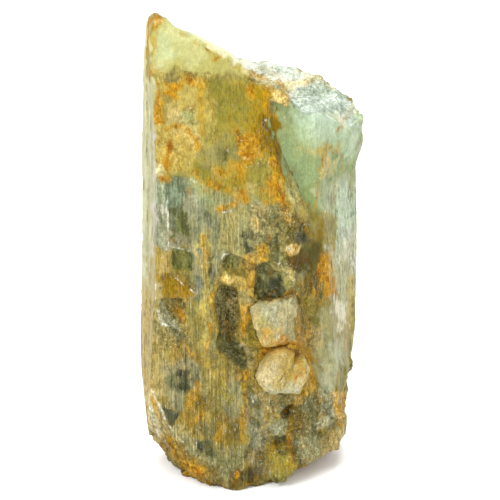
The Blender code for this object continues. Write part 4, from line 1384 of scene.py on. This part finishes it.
def hidden_streaks(places, seed):
    """Rust streaks down the far faces, as a value for each place."""
    rng = random.Random(seed)
    around = np.degrees(np.arctan2(places[:, 0], -places[:, 1])) % 360
    total = np.zeros(len(places))
    for _ in range(HIDDEN_STREAKS):
        middle = rng.uniform(*STREAK_ANGLE)
        start = rng.uniform(*STREAK_TOP)
        length = rng.uniform(*STREAK_LENGTH)
        half = rng.uniform(*STREAK_HALF)
        sway = rng.uniform(*STREAK_SWAY)
        across = (around - middle) * math.radians(1) * FAR_RADIUS - sway * (start - places[:, 2])
        along = np.maximum(0, np.maximum(places[:, 2] - start, start - length - places[:, 2]))
        total = np.maximum(total, 1 - 0.5 * np.hypot(across, along * 0.5) / half)
    return np.clip(total, 0, 1)


streaks = hidden_streaks(bent, STREAK_SEED)
print("streaks:", HIDDEN_STREAKS, "on", (streaks * hidden > 0.5).mean().round(3), "of the points")

# %% Marks away from the camera
# Each entry: kind, its mean, how much it varies, the size and seed of its noise in mm, how much
# longer the noise is along the prism, and where it shows.
FOOT_HEIGHT = 9
FOOT_EDGE = 6
RIM_MIDDLE = 0.42

sides = hidden * (1 - 0.8 * top)
foot = ramp(FOOT_HEIGHT - places[:, 2], 0, FOOT_EDGE) * hidden
rim = ramp(0.5 - np.abs(spread(crystal.data, level, 14) - RIM_MIDDLE), 0.25, 0.45) * hidden
HIDDEN_MARKS = (
    ("ice", 0.72, 0.4, 7, 21, 1.0, top * hidden),
    ("crust", -0.02, 0.9, 5, 27, 2.0, sides),
    ("slate", 0.16, 0.9, 5, 26, 2.0, hidden * (1 - top)),
    ("rust", 0.5, 0.7, 3, 28, 1.0, foot),
    ("rust", 0.36, 0.7, 3.5, 29, 1.0, rim),
)
marks["rust"] = np.maximum(marks["rust"], streaks * sides)
for kind, mean, contrast, size, seed, stretch, where in HIDDEN_MARKS:
    values = np.clip(mean + contrast * field(bent, size, seed, stretch), 0, 1) * where
    marks[kind] = np.maximum(marks[kind], values)
marks["crumb"] = np.maximum(crumb, 0.8 * broken * hidden)
marks["fibre"] = fibre
marks["mottle"] = mottle
marks["crack"] = cracks * rugged
print("values kept at each point:", sorted(marks))

# %% Helpers that keep the values
WASH_PARTS = ("wash_red", "wash_green", "wash_blue")


def store(mesh, name, values):
    """Keeps one value for each point of a mesh, for a material to read."""
    layer = mesh.attributes.new(name, "FLOAT", "POINT")
    layer.data.foreach_set("value", np.ascontiguousarray(values, dtype=np.float32))


def store_colours(mesh, colours):
    """Keeps the red, green and blue of each point of a mesh."""
    for number, name in enumerate(WASH_PARTS):
        store(mesh, name, colours[:, number])


# %% Keeping the values
for kind, values in marks.items():
    store(crystal.data, kind, values)
store_colours(crystal.data, colours)
for node in ("feldspar_crystal", "feldspar_block"):
    grain = skins[node]
    seen, _ = sides_of(grain)
    store_colours(grain.data, washed(grain, GRAIN_START, GRAIN_WASHES, seen))
    for kind, values in crisp(grain, {}, GRAIN_STROKES, seen).items():
        if kind in GRAIN_STROKES:
            store(grain.data, kind, values)
    print(node, "keeps:", sorted([*GRAIN_STROKES, *WASH_PARTS]))

# %% [markdown]
# ## Finishes
#
# One node group turns a stored mark into a stain: it frays the mark's edge with fine noise and
# lays the stain's colour over what is there. The beryl and the feldspar both use it, each with its
# own list of stains. Long thin noise makes the fibres that run up the prism, and short noise makes
# the painted glints and the painted shade in the pits of broken places.

# %% Node helpers
class Net:
    """Adds nodes to a node tree and links them."""

    def __init__(self, tree):
        self.tree = tree

    def give(self, socket, value):
        if isinstance(value, bpy.types.NodeSocket):
            self.tree.links.new(value, socket)
        elif isinstance(value, tuple) and socket.type == "RGBA":
            socket.default_value = (*value, 1)
        else:
            socket.default_value = value

    def fill(self, node, values):
        """Gives the inputs of a node their values, or links them."""
        for place, value in values.items():
            self.give(node.inputs[place], value)

    def node(self, kind, values=None, **settings):
        made = self.tree.nodes.new("ShaderNode" + kind)
        for name, value in settings.items():
            setattr(made, name, value)
        self.fill(made, values or {})
        return made

    def math(self, operation, a, b=0.0, c=0.0, clamp=False):
        values = {0: a, 1: b, 2: c} if operation == "MULTIPLY_ADD" else {0: a, 1: b}
        return self.node("Math", values, operation=operation, use_clamp=clamp).outputs[0]

    def add(self, first, *others):
        for other in others:
            first = self.math("ADD", first, other)
        return first

    def times(self, first, *others):
        for other in others:
            first = self.math("MULTIPLY", first, other)
        return first

    def less(self, value):
        return self.math("SUBTRACT", 1.0, value, clamp=True)

    def mix(self, share, a, b, blend="MIX"):
        values = {0: share, 6: a, 7: b}
        return self.node("Mix", values, data_type="RGBA", blend_type=blend).outputs[2]

    def between(self, share, a, b):
        return self.node("Mix", {0: share, 2: a, 3: b}).outputs[0]

    def step(self, value, low, high, start=0.0, end=1.0):
        values = {"Value": value, "From Min": low, "From Max": high, "To Min": start, "To Max": end}
        return self.node("MapRange", values, interpolation_type="SMOOTHSTEP").outputs[0]

    def noise(self, at, across, along, detail, roughness, warp=0.0):
        """Noise at a place in mm, with this many cells per mm across the prism and along it."""
        spot = self.node("Mapping", {"Vector": at, "Scale": (across, across, along)}).outputs[0]
        values = {"Vector": spot, "Scale": 1.0, "Detail": detail, "Roughness": roughness, "Distortion": warp}
        return self.node("TexNoise", values).outputs["Fac"]

    def mark(self, name):
        return self.node("Attribute", attribute_name=name).outputs["Fac"]

    def wash(self):
        """The soft colour kept at the points."""
        parts = {place: self.mark(name) for place, name in enumerate(WASH_PARTS)}
        return self.node("CombineColor", parts).outputs[0]


# %% The start of a finish
def tint(red, green, blue):
    """A colour as a picture shows it, 0 to 255, as a plain colour for a shader."""
    return tuple(float(part) for part in light_of((red, green, blue)))


def new_group(name, inputs, outputs):
    """A node group with these sockets. Returns it with its input and output nodes."""
    tree = bpy.data.node_groups.new(name, "ShaderNodeTree")
    for label, kind in inputs.items():
        tree.interface.new_socket(label, in_out="INPUT", socket_type="NodeSocket" + kind)
    for label, kind in outputs.items():
        tree.interface.new_socket(label, in_out="OUTPUT", socket_type="NodeSocket" + kind)
    return tree, tree.nodes.new("NodeGroupInput").outputs, tree.nodes.new("NodeGroupOutput").inputs


def new_finish(name, noises):
    """A new material, its net, and its noises by name."""
    material = bpy.data.materials.new(name)
    material.use_nodes = True
    net = Net(material.node_tree)
    at = net.node("TexCoord").outputs["Object"]
    at = net.node("Mapping", {"Vector": at, "Scale": (1 / MM, 1 / MM, 1 / MM)}).outputs[0]
    here = {label: net.noise(at, *values) for label, values in noises.items()}
    here["everywhere"] = 1.0
    return material, net, here


# %% The stain group
MARK_EDGE = (0.02, 0.12)


def stain_group():
    """Lays one stain over a colour: its mark, frayed, with a lighter and a darker tone."""
    inputs = {"Under": "Color", "Mark": "Float", "Fray": "Float", "Tone": "Float", "Frayed by": "Float",
              "Edge": "Float", "Softness": "Float", "Strength": "Float", "Light": "Color", "Dark": "Color"}
    tree, given, result = new_group("stain", inputs, {"Colour": "Color", "Share": "Float"})
    net = Net(tree)
    there = net.step(given["Mark"], *MARK_EDGE)
    off_middle = net.times(net.math("SUBTRACT", given["Fray"], 0.5), there)
    frayed = net.math("MULTIPLY_ADD", off_middle, given["Frayed by"], given["Mark"])
    low = net.math("SUBTRACT", given["Edge"], given["Softness"])
    high = net.math("ADD", given["Edge"], given["Softness"])
    share = net.times(net.step(frayed, low, high), given["Strength"])
    tone = net.mix(given["Tone"], given["Dark"], given["Light"])
    tree.links.new(net.mix(share, given["Under"], tone), result["Colour"])
    tree.links.new(share, result["Share"])
    return tree


STAIN = stain_group()
print("stain group:", len(STAIN.nodes), "nodes")


def stain(net, under, kind, light, dark, fray, tone, frayed_by, edge, softness, strength):
    """Adds one stain. Returns the new colour and the stain's share."""
    node = net.node("Group", node_tree=STAIN)
    net.fill(node, {"Under": under, "Mark": net.mark(kind), "Fray": fray, "Tone": tone,
                    "Frayed by": frayed_by, "Edge": edge, "Softness": softness, "Strength": strength,
                    "Light": tint(*light), "Dark": tint(*dark)})
    return node.outputs["Colour"], node.outputs["Share"]


# %% Layers that both finishes have
def clouded(net, colour, here, clouds):
    """Lays clouds of other shades over a soft colour."""
    for name, start, full, where, most, shade in clouds:
        share = net.times(net.step(here[name], start, full), here[where], most)
        colour = net.mix(share, colour, tint(*shade))
    return colour


def spots(net, here, kinds):
    """Lighter and darker spots, as what they add to a colour's strength of 1."""
    return net.add(*(net.step(here[name], low, 1 - low, -most, most) for name, low, most in kinds))


# %% [markdown]
# ## Beryl
#
# The beryl's colour is built from the lowest layer up: the soft washes with clouds in them, the
# stains, spots and thin veils, fibres along the prism, cracks, painted shade in pits and painted glints
# where it broke, and painted glints and shade on the break at the top. Each layer is a function of its
# own, and later layers ask what the earlier ones left: a window shows fewer spots, and a coat of rust
# shows fewer fibres. Some light passes through the stone, which swallows blue most.

# %% Noises of the beryl
# Each entry: cells per mm across the prism and along it, detail, roughness and warp.
BERYL_NOISES = {
    "cloud": (0.2, 0.12, 4, 0.6),
    "clump": (0.5, 0.22, 3, 0.6),
    "puff": (0.55, 0.35, 5, 0.62, 0.6),
    "fray": (0.7, 0.5, 5, 0.6),
    "veil": (0.8, 0.5, 2, 0.5, 1.6),
    "marble": (1.1, 0.8, 5, 0.62, 1.2),
    "streak": (1.7, 0.05, 4, 0.66, 0.1),
    "grain": (2.0, 1.4, 5, 0.66),
    "speck": (2.3, 1.9, 4, 0.7),
    "thread": (3.6, 0.14, 3, 0.6),
    "ice_relief_and_glint": (3.8, 6.0, 3, 0.65, 0.4),
    "fine": (4.2, 3.4, 3, 0.7),
    "dash": (4.4, 0.7, 3, 0.65),
    "short": (4.4, 0.8, 3, 0.6),
}
FRAY_EDGE = (0.32, 0.68)


def beryl_start():
    """The beryl's material and net, and all that its layers follow: noises and stored values."""
    material, net, here = new_finish("beryl", BERYL_NOISES)
    for kind in ("fibre", "crumb", "mottle", "crack"):
        here[kind] = net.mark(kind)
    here["fray"] = net.step(here["fray"], *FRAY_EDGE)
    here["clump"] = net.step(here["clump"], 0.42, 0.58)
    glass = net.add(net.times(here["streak"], 0.5), net.times(here["puff"], 0.5))
    glitter = net.add(net.times(here["speck"], 0.6), net.times(here["puff"], 0.4))
    here["veined"] = net.step(here["marble"], 0.38, 0.62)
    here["glassy"] = net.step(glass, 0.42, 0.58)
    here["glittery"] = net.step(glitter, 0.4, 0.58)
    return material, net, here


# %% Clouds and stains of the beryl
# Each cloud: noise, where it starts and is full, the stored value it follows, how much at most, shade.
BERYL_CLOUDS = (
    ("cloud", 0.5, 0.62, "mottle", 0.3, (190, 146, 34)),
    ("cloud", 0.5, 0.38, "mottle", 0.3, (128, 134, 84)),
    ("puff", 0.52, 0.64, "fibre", 0.4, (150, 118, 50)),
    ("puff", 0.48, 0.36, "fibre", 0.4, (132, 132, 98)),
)
# Each stain, from the lowest up: mark, what its tone follows, lighter tone, darker tone, fray, edge,
# softness, strength. Rust is laid twice, first as a pale wide halo.
BERYL_STAINS = (
    ("ice", "veined", (228, 246, 222), (184, 212, 184), 0.6, 0.5, 0.25, 0.9),
    ("grey", "glassy", (136, 138, 100), (92, 96, 64), 0.7, 0.45, 0.4, 0.8),
    ("green", "glassy", (138, 156, 124), (90, 108, 80), 0.5, 0.5, 0.3, 0.95),
    ("moss", "glassy", (112, 118, 62), (68, 74, 32), 0.6, 0.5, 0.3, 0.95),
    ("bark", "glittery", (134, 122, 56), (78, 72, 28), 0.8, 0.45, 0.4, 0.9),
    ("slate", "glassy", (108, 110, 68), (62, 65, 38), 0.8, 0.45, 0.4, 0.9),
    ("black", "glassy", (76, 80, 58), (55, 58, 42), 0.6, 0.45, 0.4, 0.9),
    ("umber", "veined", (118, 90, 16), (84, 60, 4), 0.5, 0.5, 0.35, 0.85),
    ("dark", "glittery", (148, 141, 94), (66, 58, 28), 0.5, 0.5, 0.22, 0.9),
    ("crust", "veined", (220, 183, 84), (198, 154, 50), 0.5, 0.5, 0.5, 0.55),
    ("rust", "veined", (206, 162, 44), (172, 128, 18), 0.4, 0.3, 0.3, 0.65),
    ("cream", "veined", (244, 220, 144), (216, 172, 82), 0.6, 0.5, 0.25, 1.0),
    ("rust", "veined", (210, 146, 20), (170, 108, 2), 0.35, 0.62, 0.42, 0.75),
    ("deep", "veined", (190, 110, 4), (144, 76, 0), 0.6, 0.55, 0.4, 0.8),
    # The last stain lays the pale flaws and the painted glints.
    ("white", "veined", (255, 253, 240), (226, 222, 194), 0.5, 0.5, 0.3, 0.9),
)


def stained(net, colour, here):
    """Lays the stains and the windows, and notes how much of them shows."""
    shares = {}
    for kind, follows, light, dark, *edges in BERYL_STAINS:
        colour, shares[kind] = stain(net, colour, kind, light, dark, here["fray"], here[follows], *edges)
    rusty = net.math("ADD", shares["rust"], shares["crust"])
    here["coated"] = net.math("ADD", rusty, shares["cream"], clamp=True)
    windows = net.add(shares["moss"], shares["slate"], shares["green"], shares["black"])
    here["windows"] = net.math("MINIMUM", windows, 1.0)
    here["stone"] = net.less(net.times(here["windows"], 0.65))
    here["ice"] = shares["ice"]
    here["hollow"] = shares["dark"]
    return colour


# %% Spots, veils and fibres of the beryl
# Each kind of spot: noise, where it is darkest, how much it darkens or lightens.
BERYL_SPOTS = (("puff", 0.34, 0.3), ("marble", 0.3, 0.34), ("grain", 0.3, 0.2), ("fine", 0.3, 0.2),
               ("short", 0.3, 0.4))
VEIL_HALF = (0.012, 0.002)
VEIL = (230, 220, 168)
BRIGHT_THREAD = (222, 216, 172)
SUNK_THREAD = (84, 76, 34)
HAIR = (240, 236, 206)


def spotted(net, colour, here):
    """Lays lighter and darker spots, and thin bright veils where a noise crosses its middle."""
    uneven = net.times(here["mottle"], here["stone"])
    strength = net.math("MULTIPLY_ADD", spots(net, here, BERYL_SPOTS), uneven, 1.0)
    colour = net.mix(1.0, colour, strength, "MULTIPLY")
    line = net.step(net.math("ABSOLUTE", net.math("SUBTRACT", here["veil"], 0.5)), *VEIL_HALF)
    line = net.times(line, net.step(here["fray"], 0.4, 0.8), uneven)
    return net.mix(net.times(line, 0.7), colour, tint(*VEIL))


def fibred(net, colour, here):
    """Lays fibres along the prism: broad shading, bright and sunk threads, short pale hairs."""
    streak, thread, clump = here["streak"], here["thread"], here["clump"]
    threads = net.times(here["fibre"], net.less(net.times(here["coated"], 0.6)))
    shade = net.add(net.step(streak, 0.36, 0.64, 0.82, 1.18), net.step(thread, 0.32, 0.68, -0.16, 0.16))
    colour = net.mix(1.0, colour, net.between(threads, 1.0, shade), "MULTIPLY")
    bright = net.times(net.step(thread, 0.58, 0.68, 0, 0.5), threads, clump, here["stone"])
    sunk = net.times(net.step(thread, 0.42, 0.32, 0, 0.6), threads, net.less(clump))
    colour = net.mix(bright, colour, tint(*BRIGHT_THREAD))
    colour = net.mix(sunk, colour, tint(*SUNK_THREAD))
    where = net.math("MAXIMUM", threads, net.times(here["windows"], 0.2))
    hairs = net.times(net.step(here["dash"], 0.62, 0.7), where)
    here["threads"] = threads
    return net.mix(net.times(hairs, 0.7), colour, tint(*HAIR))


# %% Broken places and the icy top of the beryl, with painted glints and painted shade
# Painted shade in small pits, the colours of cracks, and a painted glint:
PIT_SHADE = (60, 54, 20)
CRACK = (84, 76, 30)
RUSTY_CRACK = (176, 128, 26)
GLINT = (246, 244, 220)
# Painted glints and painted shade on the break at the top:
ICE_GLINT = (255, 255, 250)
ICE_PIT_SHADE = (128, 146, 122)


def broken_up(net, colour, here):
    """Lays painted shade in pits, cracks, and painted glints where the crystal broke."""
    speck, not_ice = here["speck"], net.less(here["ice"])
    rough = net.times(here["crumb"], not_ice, here["stone"])
    pitted = net.step(speck, 0.36, 0.64, 0.64, 1.34)
    colour = net.mix(1.0, colour, net.between(rough, 1.0, pitted), "MULTIPLY")
    colour = net.mix(net.times(net.step(speck, 0.38, 0.3, 0, 0.8), rough), colour, tint(*PIT_SHADE))
    crack = net.times(here["crack"], net.step(here["fray"], 0.3, 0.7, 0.0, 0.7), not_ice)
    crack_colour = net.mix(net.step(here["cloud"], 0.48, 0.56), tint(*CRACK), tint(*RUSTY_CRACK))
    colour = net.mix(crack, colour, crack_colour)
    sparkle = net.math("MAXIMUM", net.step(speck, 0.61, 0.67), net.step(here["fine"], 0.62, 0.68))
    bare = net.times(rough, net.less(net.times(here["coated"], 0.8)))
    here["glint"] = net.times(sparkle, net.math("MAXIMUM", bare, net.times(here["hollow"], 0.6)))
    return net.mix(net.times(here["glint"], 0.9), colour, tint(*GLINT))


def glinted_and_shaded_ice(net, colour, here):
    """Lays painted glints and painted shade in small pits on the sparkling break at the top."""
    ice_relief_and_glint, ice = here["ice_relief_and_glint"], here["ice"]
    colour = net.mix(net.times(net.step(ice_relief_and_glint, 0.56, 0.62), ice), colour, tint(*ICE_GLINT))
    return net.mix(net.times(net.step(ice_relief_and_glint, 0.42, 0.34, 0, 0.7), ice), colour, tint(*ICE_PIT_SHADE))


# %% The finish of the beryl
STONE_ROUGH, WINDOW_ROUGH, COAT_ROUGH = 0.45, 0.2, 0.75
# Each kind of bump: noise, where it is, its share of the height.
BERYL_BUMPS = (("thread", "threads", 0.8), ("streak", "threads", 0.6), ("grain", "everywhere", 0.4),
               ("speck", "crumb", 1.4), ("ice_relief_and_glint", "ice", 2.0), ("marble", "coated", 1.0))
BERYL_BUMP = {"Distance": 0.3 * MM, "Strength": 0.8}
BERYL_SHADER = {
    "IOR": 1.58,
    "Transmission Weight": 0.21,
    "Specular IOR Level": 0.05,
    "Specular Tint": (0.14, 0.14, 0.14),
    "Coat Roughness": 0.15,
}
BERYL_ABSORBS = {"Color": (0.68, 0.74, 0.1), "Density": 120.0}


def beryl():
    """The crystal's finish."""
    material, net, here = beryl_start()
    colour = clouded(net, net.wash(), here, BERYL_CLOUDS)
    for layer in (stained, spotted, fibred, broken_up, glinted_and_shaded_ice):
        colour = layer(net, colour, here)
    roughness = net.between(here["windows"], STONE_ROUGH, WINDOW_ROUGH)
    roughness = net.between(here["coated"], roughness, COAT_ROUGH)
    height = net.add(*(net.times(here[name], here[where], share) for name, where, share in BERYL_BUMPS))
    bump = net.node("Bump", {"Height": height, **BERYL_BUMP}).outputs[0]
    wet = net.math("ADD", net.times(here["ice"], 0.5), net.times(here["windows"], 0.1))
    gloss = net.math("ADD", here["glint"], wet, clamp=True)
    shader = material.node_tree.nodes["Principled BSDF"]
    net.fill(shader, {"Base Color": colour, "Roughness": roughness, "Normal": bump, "Coat Weight": gloss})
    net.fill(shader, BERYL_SHADER)
    absorbing = net.node("VolumeAbsorption", BERYL_ABSORBS)
    net.fill(material.node_tree.nodes["Material Output"], {"Volume": absorbing.outputs[0]})
    return material


# %% [markdown]
# ## Feldspar
#
# The two grains are milky, so a little light scatters under their surface. Their colour has pale
# and dark streaks, spots, and the same kind of stain as the beryl's. It is dimmed at the end, since
# the scattered light makes the grains paler.

# %% The finish of the feldspar
# The entries are like the beryl's.
FELDSPAR_NOISES = {
    "puff": (0.7, 0.45, 3, 0.6, 0.8),
    "fray": (1.1, 0.8, 5, 0.65),
    "streak": (1.6, 0.5, 4, 0.66),
    "grain": (2.0, 1.2, 5, 0.65),
    "fine": (4.0, 2.6, 3, 0.7),
}
FELDSPAR_CLOUDS = (
    ("streak", 0.52, 0.68, "everywhere", 0.55, (240, 230, 190)),
    ("streak", 0.48, 0.34, "everywhere", 0.35, (164, 146, 92)),
)
FELDSPAR_SPOTS = (("grain", 0.3, 0.2), ("fine", 0.3, 0.25), ("puff", 0.36, 0.14))
FELDSPAR_STAINS = (
    ("rust", (222, 172, 70), (194, 132, 26), 0.9, 0.5, 0.4, 0.8),
    ("deep", (208, 128, 30), (176, 92, 12), 0.7, 0.5, 0.35, 0.9),
    ("umber", (136, 108, 44), (100, 76, 20), 0.5, 0.5, 0.25, 0.8),
    # Pale lines and painted glints:
    ("white", (250, 246, 232), (226, 216, 190), 0.8, 0.5, 0.25, 0.8),
)
FELDSPAR_DIM = 0.67
FELDSPAR_BUMP = {"Distance": 0.16 * MM, "Strength": 0.8}
FELDSPAR_SHADER = {
    "Roughness": 0.5,
    "Specular IOR Level": 0.2,
    "Subsurface Weight": 0.2,
    "Subsurface Radius": (1, 0.85, 0.5),
    "Subsurface Scale": 1.0 * MM,
}


def feldspar():
    """The finish of the two grains."""
    material, net, here = new_finish("feldspar", FELDSPAR_NOISES)
    fray = net.step(here["fray"], *FRAY_EDGE)
    colour = clouded(net, net.wash(), here, FELDSPAR_CLOUDS)
    colour = net.mix(1.0, colour, net.add(spots(net, here, FELDSPAR_SPOTS), 1.0), "MULTIPLY")
    for kind, light, dark, *edges in FELDSPAR_STAINS:
        colour, _ = stain(net, colour, kind, light, dark, fray, here["grain"], *edges)
    colour = net.mix(1.0, colour, (FELDSPAR_DIM, FELDSPAR_DIM, FELDSPAR_DIM), "MULTIPLY")
    height = net.add(here["grain"], net.times(here["streak"], 0.6))
    bump = net.node("Bump", {"Height": height, **FELDSPAR_BUMP}).outputs[0]
    shader = material.node_tree.nodes["Principled BSDF"]
    net.fill(shader, {"Base Color": colour, "Normal": bump})
    net.fill(shader, FELDSPAR_SHADER)
    return material


# %% Finish every piece
crystal_finish, grain_finish = beryl(), feldspar()
for node, skin in skins.items():
    is_crystal = node == "beryl_crystal"
    finish = crystal_finish if is_crystal else grain_finish
    skin.data.materials.clear()
    skin.data.materials.append(finish)
    skin.data.shade_smooth()
    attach(skin, "root")
    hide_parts(node)
    print(node, "is finished as", finish.name, "with", len(finish.node_tree.nodes), "nodes")
